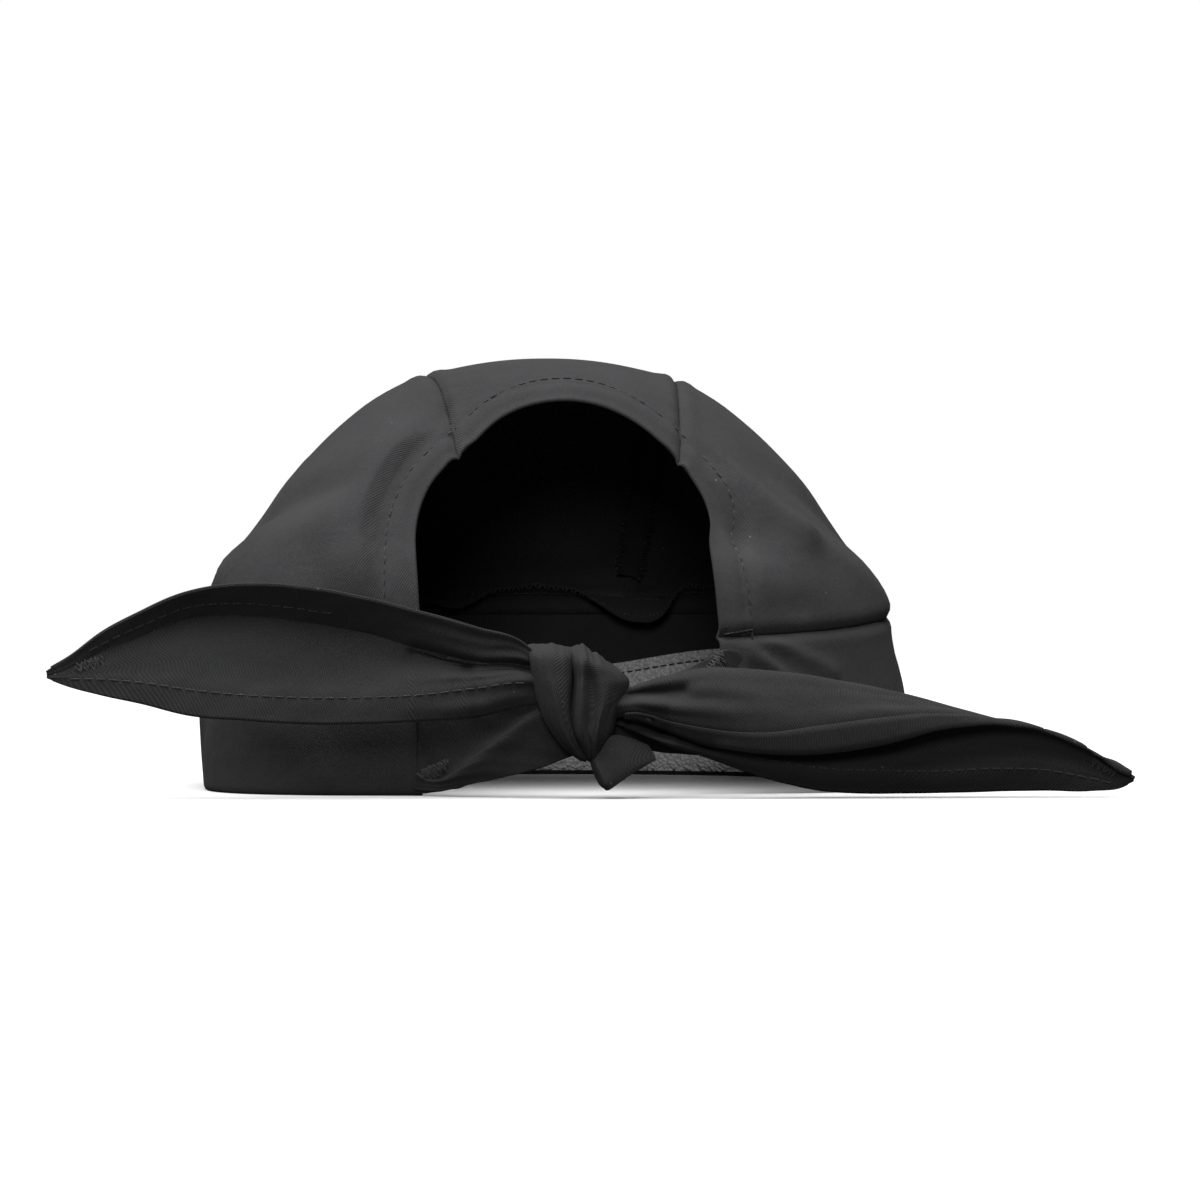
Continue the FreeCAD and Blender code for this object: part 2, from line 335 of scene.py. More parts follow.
def seam_line(angle):
    """Seam between band and crown at angles round the cap."""
    start = plan_radius(angle) * 0.97
    points = np.stack([start * np.cos(angle), start * np.sin(angle), np.full(angle.shape, SEAM_SIDE)], -1)
    for _ in range(8):
        points[..., 2] = seam_height(points[..., 1])
        points = on_crown(points)
    points[..., 2] = seam_height(points[..., 1])
    return points


def behind(x, z):
    """Points of the crown's back at places seen from behind, found by drawing y in and out."""
    points = np.stack([x, np.full(np.shape(x), -0.8 * BACK), z], -1)
    for _ in range(60):
        moved = on_crown(points)
        points[..., 1] = points[..., 1] + 0.9 * (moved[..., 1] - points[..., 1])
    return points


def head_reach(turn):
    """Distance of the opening's edge from the middle of its round head: pulled in at the left
    shoulder, and let out at the top and at the right leg."""
    shoulder, top, right = bell(turn - 0.84, 0.28), bell(turn - 1.85, 0.55), bell(turn - 2.88, 0.25)
    return OPENING_HALF + (1.9 * top + 1.8 * right - 2.5 * shoulder) * ease(math.pi - turn, 0, 0.2)


def opening_outline(part, grow=0.0):
    """The opening seen from behind: up the left leg, round a head that is a little peaked and
    uneven, and down the right leg. grow moves the line away from the opening."""
    arc = math.pi * OPENING_HALF
    travel = np.asarray(part) * (2 * OPENING_LEG + arc)
    turn = np.clip((travel - OPENING_LEG) / OPENING_HALF, 0, math.pi)
    below = np.maximum(OPENING_LEG - travel, 0) + np.maximum(travel - OPENING_LEG - arc, 0)
    reach = head_reach(turn) + grow
    return -reach * np.cos(turn), OPENING_SPRING + reach * np.sin(turn) - below


def opening_part(x, z):
    """Share of the opening's edge at a place on its round head."""
    turn = math.atan2(z - OPENING_SPRING, -x)
    return (OPENING_LEG + OPENING_HALF * turn) / (2 * OPENING_LEG + math.pi * OPENING_HALF)


def seam_across(side, y):
    """Place across of a crown seam: a parabola through its back, top and front places."""
    back, top, front = {-1: (-21.0, -32.0, -29.0), 1: (27.0, 34.5, 29.0)}[side]
    rear, fore = (back - top) / (-BACK), (front - top) / FRONT
    bend = (fore - rear) / (FRONT + BACK)
    return top + (fore - bend * FRONT) * y + bend * y**2


def crown_seam(side):
    """Seam between the centre panel and a side panel, from the opening to the band's front."""
    lift = np.radians(np.linspace(176, 3, 900))
    points = np.stack([0 * lift, 60 * np.cos(lift), SEAM_BACK + 60 * np.sin(lift)], -1)
    for _ in range(14):
        points[:, 0] = seam_across(side, points[:, 1])
        points = on_crown(points)
    rise = points[:, 2] - OPENING_SPRING
    head = np.hypot(points[:, 0], rise) > head_reach(np.arctan2(rise, -points[:, 0])) + 0.3
    clear = (points[:, 1] > 0) | (head & (points[:, 2] > OPENING_SPRING))
    points = points[clear & (points[:, 2] > seam_height(points[:, 1]))]
    part = opening_part(points[0, 0], points[0, 2])
    x, z = opening_outline(part)
    points[0] = behind(np.array([x]), np.array([z]))[0]
    points[-1] = seam_line(np.array([math.atan2(points[-1, 1], points[-1, 0])]))[0]
    return points, part


def ridge(points, start, end, height, width):
    """Soft fold along a straight line: a bell in the distance from it."""
    start, end = np.array(start, float), np.array(end, float)
    line = end - start
    part = np.clip((points - start) @ line / (line @ line), 0, 1)
    away = np.linalg.norm(points - (start + part[..., None] * line), axis=-1)
    return height * bell(away, width)


# folds of the crown: start, end, height and width of each
CROWN_FOLDS = [
    ((-28, -60, 88), (-42, -66, 80), 1.4, 2.2),
    ((-24, -58, 92), (-38, -60, 86), -1.2, 1.8),
    ((-33, -50, 88), (-27, -42, 97), -0.8, 2.0),
    ((-56, -64, 66), (-80, -40, 54), 2.2, 8.0),
    ((-58, -56, 80), (-76, -30, 64), -2.0, 7.0),
    ((-86, -10, 52), (-72, -44, 66), 1.0, 6.0),
    ((40, -60, 86), (60, -56, 64), 1.9, 5.0),
    ((42, -66, 74), (56, -66, 46), -2.2, 4.5),
    ((60, -56, 64), (80, -36, 48), 1.6, 6.5),
    ((56, -44, 82), (80, -20, 60), -1.2, 6.0),
    ((40, 60, 72), (20, 30, 104), 0.8, 7.0),
    ((-44, 58, 70), (-60, 10, 84), 0.9, 8.0),
    ((10, 84, 62), (-6, 52, 96), -0.8, 9.0),
    ((76, 34, 62), (52, 56, 74), -0.9, 7.0),
    ((-80, 26, 58), (-62, 52, 62), 0.9, 6.0),
]
BAND_FOLDS = [
    ((44, -78, 36), (58, -72, 24), 1.6, 1.7),
    ((49, -76, 38), (66, -66, 30), 1.2, 1.8),
    ((46, -78, 31), (60, -70, 17), -1.0, 2.2),
    ((-60, -79, 6), (-84, -70, 30), 0.5, 6.0),
    ((-92, -30, 10), (-90, -58, 34), -0.7, 7.0),
    ((92, -10, 34), (88, -44, 8), 0.8, 6.0),
    ((91, 20, 8), (80, 46, 40), -0.7, 7.0),
    ((-88, 22, 38), (-76, 52, 8), 0.7, 7.0),
    ((20, 93, 6), (-24, 92, 40), 0.5, 8.0),
]


def settle(points, folds=()):
    """How the cloth has settled: its folds, a slow waviness of crossed sines, and the crown's
    lean. Every layer is moved alike, so that the layers stay apart."""
    x, y, z = points[..., 0], points[..., 1], points[..., 2]
    wave = np.sin(x / 10.5 + 1.3) * np.sin(y / 14.0 + 0.4) * np.sin(z / 12.0 + 2.1)
    wave = 0.45 * wave + 0.3 * np.sin(x / 23.0 - y / 31.0 + 0.7) * np.cos(z / 19.0 + y / 27.0)
    high = ease(z, SEAM_BACK - 4, SEAM_BACK + 30)
    height = wave * (0.35 + 0.65 * high)
    for fold in folds:
        height = height + FOLD_SCALE * ridge(points, *fold)
    moved = points + outward(points) * (height * fold_strength())[..., None]
    moved[..., 0] -= CROWN_LEAN * high
    return moved


def crown_layer(points, depth=0.0):
    """Points of the crown set in by a depth, with the cloth's folds."""
    return settle(points - outward(points) * np.asarray(depth)[..., None], CROWN_FOLDS)


def band_layer(angle, share, depth=0.0):
    """Points of the band at angles and shares of its height. Its reach bulges at half height and
    meets the crown at the seam."""
    top = seam_line(angle)
    reach = np.hypot(top[..., 0], top[..., 1]) / plan_radius(angle)
    wall = curve_through(np.clip(share, 0, 1), BAND_HEIGHTS, BAND_REACH)
    wall = wall + (reach - BAND_REACH[-1]) * ease(share, 0.6, 1)
    radius = plan_radius(angle) * wall - depth
    lift = RIGHT_END_LIFT * (1 - ease(np.degrees(angle), *RIGHT_END_ANGLES)) * (1 - share)
    points = np.stack([radius * np.cos(angle), radius * np.sin(angle), top[..., 2] * share + lift], -1)
    return settle(points, BAND_FOLDS)


# ---------------------------------------------------------------- meshes


def add_mesh(name, points, faces, cloth_marks=None):
    """Object at the origin from points in millimetres. cloth_marks is each point's place on the
    flat cloth, kept as a UV map in metres. Points in the same place become one."""
    mesh = bpy.data.meshes.new(name)
    mesh.from_pydata((points * MM).tolist(), [], faces.tolist())
    if cloth_marks is not None:
        layer = mesh.uv_layers.new(name="cloth")
        layer.data.foreach_set("uv", (cloth_marks[faces.ravel()] * MM).ravel())
    work = bmesh.new()
    work.from_mesh(mesh)
    bmesh.ops.remove_doubles(work, verts=work.verts, dist=2e-6)
    bmesh.ops.dissolve_degenerate(work, dist=1e-6, edges=work.edges)
    work.to_mesh(mesh)
    work.free()
    mesh.polygons.foreach_set("use_smooth", np.ones(len(mesh.polygons), bool))
    obj = bpy.data.objects.new(name, mesh)
    bpy.context.scene.collection.objects.link(obj)
    return obj


def dress(obj, finish, body, nodes, thickness=0.0):
    """Gives a piece its material, its thickness, the body it rides on and the nodes it stands for, which are
    hidden. A body given as (name, start, end) in millimetres is not used: the piece is only baked in place
    and does not bend across that joint."""
    obj.data.materials.append(finish)
    if thickness:
        wall = obj.modifiers.new("thickness", "SOLIDIFY")
        wall.thickness = thickness * MM
        wall.offset = -1
    if isinstance(body, str):
        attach(obj, body)
    else:
        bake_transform(obj)
    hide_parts(*nodes)
    return obj


def grid_faces(rows, columns):
    """Four-sided faces between the points of a grid, counted row by row."""
    index = np.arange(rows * columns).reshape(rows, columns)
    corners = [index[:-1, :-1], index[:-1, 1:], index[1:, 1:], index[1:, :-1]]
    return np.stack(corners, -1).reshape(-1, 4)


def cloth_piece(name, grid, toward, finish, body, nodes, thickness=None):
    """Cloth on a grid of points (rows, columns, 3), its right side facing toward. Its UV map is
    the distance travelled along rows and columns, so that a weave keeps its size."""
    thickness = size("cloth") if thickness is None else thickness
    rows, columns = grid.shape[:2]
    faces = grid_faces(rows, columns)
    normal = np.cross(np.gradient(grid, axis=1), np.gradient(grid, axis=0))
    if (normal * toward).sum() < 0:
        faces = faces[:, ::-1]
    run = np.linalg.norm(np.diff(grid, axis=1), axis=-1).cumsum(1)
    rise = np.linalg.norm(np.diff(grid, axis=0), axis=-1).cumsum(0)
    marks = np.stack([np.pad(run, ((0, 0), (1, 0))), np.pad(rise, ((1, 0), (0, 0)))], -1)
    obj = add_mesh(name, grid.reshape(-1, 3), faces, marks.reshape(-1, 2))
    return dress(obj, finish, body, nodes, thickness)


def thread_piece(name, middles, ways, normals, lengths, finish, body, nodes, radius=None):
    """Separate stitches: each is a small spindle of five rings, laid along its way."""
    radius = size("thread") if radius is None else radius
    around = np.linspace(0, 2 * math.pi, 7)[:-1]
    places = np.array([-1, -0.75, 0, 0.75, 1])
    widths = np.array([0, 0.85, 1, 0.85, 0])
    ways, normals = unit(ways), unit(normals)
    sides = unit(np.cross(ways, normals))
    normals = np.cross(sides, ways)
    ring = sides[:, None] * np.cos(around)[None, :, None] + normals[:, None] * np.sin(around)[None, :, None]
    lengths = np.broadcast_to(lengths, len(middles))
    along = ways[:, None, None] * (places[None, :, None, None] * lengths[:, None, None, None] / 2)
    points = middles[:, None, None] + along + ring[:, None] * (widths * radius)[None, :, None, None]
    one = np.arange(30).reshape(5, 6)
    corners = [one[:-1], np.roll(one, -1, 1)[:-1], np.roll(one, -1, 1)[1:], one[1:]]
    spindle = np.stack(corners, -1).reshape(-1, 4)
    faces = (spindle[None] + 30 * np.arange(len(middles))[:, None, None]).reshape(-1, 4)
    obj = add_mesh(name, points.reshape(-1, 3), faces)
    return dress(obj, finish, body, nodes)


def row_of_stitches(line, normals, pitch=None, length=None):
    """Middles, ways, normals and lengths of stitches spaced along a line."""
    pitch = size("stitch_pitch") if pitch is None else pitch
    length = size("stitch_length") if length is None else length
    travel = along_line(line)
    at = np.arange(pitch / 2, travel[-1], pitch)
    pick = lambda values, where: np.stack([np.interp(where, travel, values[:, k]) for k in range(3)], -1)
    ways = pick(line, at + pitch / 4) - pick(line, at - pitch / 4)
    return pick(line, at), ways, pick(normals, at), np.full(len(at), length)


def zigzag(line, normals, across, pitch):
    """Overlocking: stitches that lean to and fro over an edge, across wide."""
    middles, ways, ups, lengths = row_of_stitches(line, normals, pitch, 1.0)
    sides = unit(np.cross(ways, ups))
    lean = unit(ways) * np.where(np.arange(len(ways)) % 2, 0.5, -0.5)[:, None]
    return middles, sides + lean, ups, lengths * across


def bartack(start, end, normal, width, count):
    """Rough clump of stitches between two points: most lie across it, turned a little each way."""
    start, end, normal = (np.array(v, float) for v in (start, end, normal))
    parts = np.linspace(0, 1, count)[:, None]
    way = unit(end - start)
    side = unit(np.cross(way, normal))
    wander = np.sin(np.arange(count) * 2.4)[:, None]
    middles = start + (end - start) * parts + side * wander * width * 0.12
    ways = side + way * 0.5 * np.cos(np.arange(count) * 1.9)[:, None]
    return middles + unit(normal) * 0.12, ways, np.broadcast_to(normal, ways.shape), np.full(count, width)


def joined(*rows):
    """Several rows of stitches as one."""
    return [np.concatenate(parts) for parts in zip(*rows)]


# ---------------------------------------------------------------- finishes


def new_group(name, inputs, outputs):
    """Empty shader node group with its sockets."""
    group = bpy.data.node_groups.new(name, "ShaderNodeTree")
    for label, kind, default in inputs:
        socket = group.interface.new_socket(name=label, in_out="INPUT", socket_type=kind)
        if default is not None:
            socket.default_value = default
    for label, kind in outputs:
        group.interface.new_socket(name=label, in_out="OUTPUT", socket_type=kind)
    return group, group.nodes.new("NodeGroupInput"), group.nodes.new("NodeGroupOutput")


def math_node(tree, operation, first, second=None, third=None):
    """Math node whose inputs are sockets or numbers."""
    node = tree.nodes.new("ShaderNodeMath")
    node.operation = operation
    for index, value in enumerate((first, second, third)):
        if value is None:
            continue
        if isinstance(value, bpy.types.NodeSocket):
            tree.links.new(value, node.inputs[index])
        else:
            node.inputs[index].default_value = value
    return node.outputs[0]


def noise_node(tree, vector, scale, detail=3.0, roughness=0.5):
    """Noise texture's value at a vector."""
    node = tree.nodes.new("ShaderNodeTexNoise")
    node.inputs["Scale"].default_value = scale
    node.inputs["Detail"].default_value = detail
    node.inputs["Roughness"].default_value = roughness
    tree.links.new(vector, node.inputs["Vector"])
    return node.outputs["Fac"]


def weave_group():
    """Diagonal ribs of a twill: one sine across the ribs, and a second that cuts each rib into
    the short floats of its yarns. Puts out a height from 0 to 1."""
    inputs = [("Vector", "NodeSocketVector", None), ("Rib", "NodeSocketFloat", 0.00055)]
    group, inlet, outlet = new_group("Twill ribs", inputs, [("Height", "NodeSocketFloat")])
    split = group.nodes.new("ShaderNodeSeparateXYZ")
    group.links.new(inlet.outputs["Vector"], split.inputs[0])
    across = math_node(group, "MULTIPLY_ADD", split.outputs["Y"], 0.62, split.outputs["X"])
    turns = math_node(group, "DIVIDE", math_node(group, "MULTIPLY", across, 5.3), inlet.outputs["Rib"])
    ribs = math_node(group, "SINE", turns)
    floats = math_node(group, "MULTIPLY_ADD", split.outputs["X"], -1.0, split.outputs["Y"])
    turns = math_node(group, "DIVIDE", math_node(group, "MULTIPLY", floats, 8.2), inlet.outputs["Rib"])
    cuts = math_node(group, "SINE", turns)
    both = math_node(group, "MULTIPLY_ADD", cuts, 0.3, ribs)
    group.links.new(math_node(group, "MULTIPLY_ADD", both, 0.38, 0.5), outlet.inputs[0])
    return group


def wear_group():
    """Slow changes over a cloth: a tone for faded and brushed places, a height for small creases,
    and a mask for specks of lint."""
    inputs = [("Vector", "NodeSocketVector", None)]
    outputs = [("Tone", "NodeSocketFloat"), ("Creases", "NodeSocketFloat"), ("Lint", "NodeSocketFloat")]
    group, inlet, outlet = new_group("Cloth wear", inputs, outputs)
    vector = inlet.outputs["Vector"]
    slow = noise_node(group, vector, 42.0, 4.0, 0.55)
    fuzz = noise_node(group, vector, 1500.0, 2.0, 0.6)
    tone = math_node(group, "MULTIPLY_ADD", slow, 0.55, 0.5)
    tone = math_node(group, "MULTIPLY_ADD", fuzz, 0.5, tone)
    group.links.new(tone, outlet.inputs["Tone"])
    creases = math_node(group, "MULTIPLY_ADD", noise_node(group, vector, 95.0, 5.0, 0.5), 0.9, 0.0)
    group.links.new(math_node(group, "MULTIPLY_ADD", slow, 0.5, creases), outlet.inputs["Creases"])
    cells = group.nodes.new("ShaderNodeTexVoronoi")
    cells.inputs["Scale"].default_value = 260.0
    group.links.new(vector, cells.inputs["Vector"])
    near = math_node(group, "LESS_THAN", cells.outputs["Distance"], 0.07)
    split = group.nodes.new("ShaderNodeSeparateColor")
    group.links.new(cells.outputs["Color"], split.inputs[0])
    few = math_node(group, "GREATER_THAN", split.outputs[0], 0.86)
    group.links.new(math_node(group, "MULTIPLY", near, few), outlet.inputs["Lint"])
    return group


def shared_group(name, make):
    """A node group that several finishes use, made once."""
    return bpy.data.node_groups.get(name) or make()


def new_finish(name, colour, roughness, sheen):
    """Material with a plain Principled shader."""
    finish = bpy.data.materials.new(name)
    finish.use_nodes = True
    shader = finish.node_tree.nodes["Principled BSDF"]
    shader.inputs["Base Color"].default_value = (*colour, 1)
    shader.inputs["Roughness"].default_value = roughness
    shader.inputs["Specular IOR Level"].default_value = 0.18
    shader.inputs["Sheen Weight"].default_value = sheen
    shader.inputs["Sheen Roughness"].default_value = 0.55
    finish.diffuse_color = (*colour, 1)
    return finish, finish.node_tree, shader


def object_vector(tree):
    """Object coordinates, in metres."""
    return tree.nodes.new("ShaderNodeTexCoord").outputs["Object"]


def tinted(tree, shader, colour, amount):
    """Base colour times a value that changes over the surface."""
    mix = tree.nodes.new("ShaderNodeMix")
    mix.data_type = "RGBA"
    mix.blend_type = "MULTIPLY"
    mix.inputs["Factor"].default_value = 1.0
    mix.inputs["A"].default_value = (*colour, 1)
    tree.links.new(amount, mix.inputs["B"])
    tree.links.new(mix.outputs["Result"], shader.inputs["Base Color"])


def raised(tree, shader, height, distance, strength):
    """Relief in the shading: a height of 1 stands distance metres high."""
    bump = tree.nodes.new("ShaderNodeBump")
    bump.inputs["Distance"].default_value = distance
    bump.inputs["Strength"].default_value = strength
    tree.links.new(height, bump.inputs["Height"])
    tree.links.new(bump.outputs["Normal"], shader.inputs["Normal"])


def twill(name, colour, rib_depth=1.0, sheen=0.03):
    """Brushed cotton twill: ribs and creases in relief, worn tone, and a few specks of lint."""
    if name in bpy.data.materials:
        return bpy.data.materials[name]
    finish, tree, shader = new_finish(name, colour, 0.82, sheen)
    cloth = tree.nodes.new("ShaderNodeUVMap")
    cloth.uv_map = "cloth"
    ribs = tree.nodes.new("ShaderNodeGroup")
    ribs.node_tree = shared_group("Twill ribs", weave_group)
    ribs.inputs["Rib"].default_value = size("twill_pitch") * MM
    tree.links.new(cloth.outputs["UV"], ribs.inputs["Vector"])
    wear = tree.nodes.new("ShaderNodeGroup")
    wear.node_tree = shared_group("Cloth wear", wear_group)
    tree.links.new(object_vector(tree), wear.inputs["Vector"])
    tone = math_node(tree, "MULTIPLY_ADD", ribs.outputs["Height"], 0.3 * rib_depth, wear.outputs["Tone"])
    tone = math_node(tree, "SUBTRACT", tone, 0.15)
    tone = math_node(tree, "MULTIPLY_ADD", wear.outputs["Lint"], 2.2, tone)
    tinted(tree, shader, colour, tone)
    tree.links.new(math_node(tree, "MULTIPLY_ADD", tone, -0.12, 0.95), shader.inputs["Roughness"])
    rib, creases = ribs.outputs["Height"], wear.outputs["Creases"]
    height = math_node(tree, "MULTIPLY_ADD", rib, 0.12 * rib_depth, creases)
    raised(tree, shader, height, 0.0011, 0.75)
    return finish


def sewing_thread(name, colour):
    """Spun thread: plies as fine slanting bands, with a faint shine."""
    if name in bpy.data.materials:
        return bpy.data.materials[name]
    finish, tree, shader = new_finish(name, colour, 0.6, 0.3)
    plies = tree.nodes.new("ShaderNodeTexWave")
    plies.inputs["Scale"].default_value = 900.0
    plies.inputs["Distortion"].default_value = 1.5
    tree.links.new(object_vector(tree), plies.inputs["Vector"])
    tinted(tree, shader, colour, math_node(tree, "MULTIPLY_ADD", plies.outputs["Fac"], 0.7, 0.65))
    raised(tree, shader, plies.outputs["Fac"], 0.0001, 0.6)
    return finish


def towelling(name, colour):
    """Terry loops: cells about a millimetre wide, in relief, with yarn fuzz."""
    if name in bpy.data.materials:
        return bpy.data.materials[name]
    finish, tree, shader = new_finish(name, colour, 0.95, 0.35)
    vector = object_vector(tree)
    loops = tree.nodes.new("ShaderNodeTexVoronoi")
    loops.inputs["Scale"].default_value = 950.0
    tree.links.new(vector, loops.inputs["Vector"])
    fuzz = noise_node(tree, vector, 2600.0, 2.0)
    height = math_node(tree, "MULTIPLY_ADD", loops.outputs["Distance"], -0.9, 1.0)
    height = math_node(tree, "MULTIPLY_ADD", fuzz, 0.3, height)
    tinted(tree, shader, colour, math_node(tree, "MULTIPLY_ADD", height, 0.55, 0.45))
    raised(tree, shader, height, 0.0009, 0.9)
    return finish


def stiffener(name, colour):
    """Non-woven stiffener: pressed fibres."""
    if name in bpy.data.materials:
        return bpy.data.materials[name]
    finish, tree, shader = new_finish(name, colour, 0.9, 0.1)
    fibres = noise_node(tree, object_vector(tree), 700.0, 5.0, 0.7)
    tinted(tree, shader, colour, math_node(tree, "MULTIPLY_ADD", fibres, 0.8, 0.6))
    raised(tree, shader, fibres, 0.0003, 0.6)
    return finish


def finishes():
    """Every material of the cap by its slot, made once."""
    colours = bpy.context.scene.skull_cap_colours
    return {
        "crown_twill": twill("Black twill", colours.twill),
        "band_twill": twill("Band twill", colours.twill, 1.2),
        # the ties use the cap's twill darkened by a factor, as painted shade
        "tie_twill": twill("Tie twill", [TIE_PAINTED_SHADE * part for part in colours.twill], 1.5),
        # darker copy of the cap's twill: painted shade for the cloth inside the cap
        "lining_twill": twill("Lining twill", colours.lining, 0.8),
        "black_thread": sewing_thread("Sewing thread", colours.thread),
        "tie_thread": sewing_thread("Tie thread", colours.tie_thread),
        "towelling": towelling("Towelling", colours.towelling),
        "stiffener": stiffener("Stiffener", colours.stiffener),
    }


# ---------------------------------------------------------------- crown

# heights of the raw seam edge above the seam at the cap's front, at places across
EDGE_PLACES = [
    -60, -44, -29.7, -23, -14.5, -10, -4.4, 3.2, 11.7, 18.4, 24.4, 27.8, 33.7, 38.8, 43.9, 48, 56, 70
]
EDGE_HEIGHTS = [
    5, 2.5, -1.0, -2.2, 0.8, 3.2, 3.8, 4.9, 4.0, 2.2, -1.8, -4.0, -6.2, -6.4, -3.6, 3.0, 4.0, 5
]

# places across the raw seam edge, from its foot at the seam (0) to its edge (1), and their depths
EDGE_STRIP = [
    (-0.5, 1.9), (-0.2, 2.3), (0.0, 2.6), (0.2, 3.2), (0.45, 4.2), (0.7, 5.4), (0.9, 6.4), (1.0, 6.8)
]

# height of the puffed cloth beside the opening's hem, on each side
LEFT_PUFF, RIGHT_PUFF = 4.0, 1.6


def sewn_relief(distance, along, kind):
    """Relief beside a sewn edge: a groove in the seam, the turnings' ridge behind it, and, at a
    hem, the double cloth with puckers along its stitching."""
    if kind == "hem":
        double = 0.4 * ease(distance, 1.5, 3.5) * (1 - ease(distance, 7.2, 8.6))
        pucker = 1 + 0.5 * np.sin(along * 2 * math.pi / 6.3)
        return double - 0.4 * bell(distance - 6.6, 0.9) * pucker
    if kind == "band":
        return 0.5 * bell(distance - 3.2, 1.8) - 1.0 * bell(distance, 1.1)
    pucker = 0.12 * np.sin(along * 2 * math.pi / 7.1) * bell(distance, 5)
    return 0.5 * bell(distance - 3.0, 1.7) - 0.9 * bell(distance, 0.9) + pucker


def crown_panel(name, borders, kinds, rolled, finish, puff=0.0):
    """One crown panel: a patch between its border lines, drawn onto the crown, with the relief of
    its seams. At the opening its edge is rolled inwards. borders are bottom, top, left, right;
    puff is the height of the cloth that stands up beside a hem on the left border."""
    bottom, top, left, right = borders
    plain = np.array([0, 0.6, 1.4, 2.4, 3.6, 5.0, 7.0])
    near = {kind: EDGE_MARKS if kind == "hem" else plain for kind in ("hem", "band", "seam", "none")}
    width = max(along_line(bottom)[-1], along_line(top)[-1])
    height = max(along_line(left)[-1], along_line(right)[-1])
    across = edge_shares(width, near[kinds[2]], near[kinds[3]], PLAIN_STEP)
    up = edge_shares(height, near[kinds[0]], near[kinds[1]], PLAIN_STEP)
    grid = on_crown(coons(bottom, top, left, right, across, up))
    away = outward(grid)
    relief = np.zeros(grid.shape[:2])
    for line, kind in zip(borders, kinds):
        if kind != "none":
            distance, along = to_line(grid, line)
            relief = relief + sewn_relief(distance, along, kind)
    if puff:
        distance, along = to_line(grid, left)
        step = ease(distance, 9.0, 10.4) * (1 - ease(distance, 11.0, 29.0))
        from_seam = to_line(grid, top)[0]
        relief = relief + puff * step * ease(along, 4, 22) * ease(from_seam, 1.5, 15) * fold_strength()
    flat = grid
    grid = grid + away * relief[..., None]
    if rolled is not None:
        grid = np.moveaxis(grid, rolled, 0)
        flat = np.moveaxis(flat, rolled, 0)
        first = 0 if kinds[{0: 0, 1: 2}[rolled]] == "hem" else -1
        inward = unit(flat[1 if first == 0 else -2] - flat[first])
        edge, out = grid[first], outward(flat[first])
        steps = [(0.5, 1.15), (-0.05, 0.95), (-0.3, 0.6), (-0.25, 0.2)]
        rolls = [edge + inward * go - out * deep for go, deep in steps]
        parts = rolls + [grid] if first == 0 else [grid] + rolls[::-1]
        grid = np.concatenate([p[None] if p.ndim == 2 else p for p in parts])
        grid = np.moveaxis(grid, 0, rolled)
    grid = crown_layer(grid)
    return cloth_piece(name + "_cloth", grid, outward(grid), finish, "cap", [name])


def crown_lines():
    """Border lines of the three panels."""
    lines = {}
    for side in (-1, 1):
        seam, part = crown_seam(side)
        foot = 0.0 if side < 0 else 1.0
        share = np.linspace(foot, part, 300)
        edge = behind(*opening_outline(share))
        edge[-1] = seam[0]
        start = math.atan2(edge[0, 1], edge[0, 0]) % (2 * math.pi)
        end = math.atan2(seam[-1, 1], seam[-1, 0])
        start = start if side < 0 else start - 2 * math.pi
        rim = seam_line(np.linspace(start, end, 700))
        rim[0], rim[-1] = edge[0], seam[-1]
        lines[side] = {"seam": seam, "edge": edge, "rim": rim, "part": part, "end": end}
    return lines


def make_panels(lines, finish):
    """The left, right and centre panels, each with its cloth laid out in a UV map of distances along its
    grid.
    """
    for side, name in ((-1, "crown_left_panel"), (1, "crown_right_panel")):
        own = lines[side]
        point = np.repeat(own["seam"][-1:], 2, 0)
        borders = (own["rim"], own["seam"], own["edge"], point)
        puff = LEFT_PUFF if side < 0 else RIGHT_PUFF
        crown_panel(name, borders, ("band", "seam", "hem", "none"), 1, finish, puff)
    left, right = lines[-1], lines[1]
    share = np.linspace(left["part"], right["part"], 400)
    arch = behind(*opening_outline(share))
    arch[0], arch[-1] = left["seam"][0], right["seam"][0]
    front = seam_line(np.linspace(left["end"], right["end"], 200))
    front[0], front[-1] = left["seam"][-1], right["seam"][-1]
    borders = (arch, front, left["seam"], right["seam"])
    crown_panel("crown_centre_panel", borders, ("hem", "band", "seam", "seam"), 0, finish)


def hem_grow(part, foot, top):
    """Distance of a line from the opening's edge: foot at the opening's feet, top at its head."""
    z = opening_outline(part)[1]
    return top + (foot - top) * (1 - ease(z, SEAM_BACK + 4, OPENING_SPRING + 24))


def make_opening(finish, thread):
    """Turned hem behind the opening's edge, its topstitching and the bar tacks at its feet."""
    part = np.linspace(0.004, 0.996, 260)
    grows = np.array([0.3, 1.5, 4.0, 7.0, 9.0])
    wide = hem_grow(part, 1.0, 0.82)
    rows = []
    for grow in grows:
        points = behind(*opening_outline(part, grow * wide))
        rows.append(crown_layer(points, np.full(len(part), 1.15)))
    grid = np.array(rows)
    cloth_piece(
        "opening_hem_cloth", grid, -outward(grid), finish, "cap", ["opening_hem"], 0.4
    )
    line = behind(*opening_outline(part, hem_grow(part, 8.0, 5.2)))
    line = crown_layer(line, np.full(len(part), -0.16))
    row = row_of_stitches(line, outward(line))
    thread_piece("opening_topstitch_thread", *row, thread, "cap", ["opening_topstitch"])
    for side, name in ((-1, "opening_left_bartack"), (1, "opening_right_bartack")):
        rows = []
        for rise in (1.2, 2.9):
            x = side * np.array([OPENING_HALF + 0.8, OPENING_HALF + 8.2])
            ends = crown_layer(behind(x, SEAM_BACK + np.array([rise, rise + 1.2])), np.full(2, -0.3))
            rows.append(row_of_stitches(ends, outward(ends), 1.25, 1.5))
        thread_piece(name + "_thread", *joined(*rows), thread, "cap", [name], 0.24)


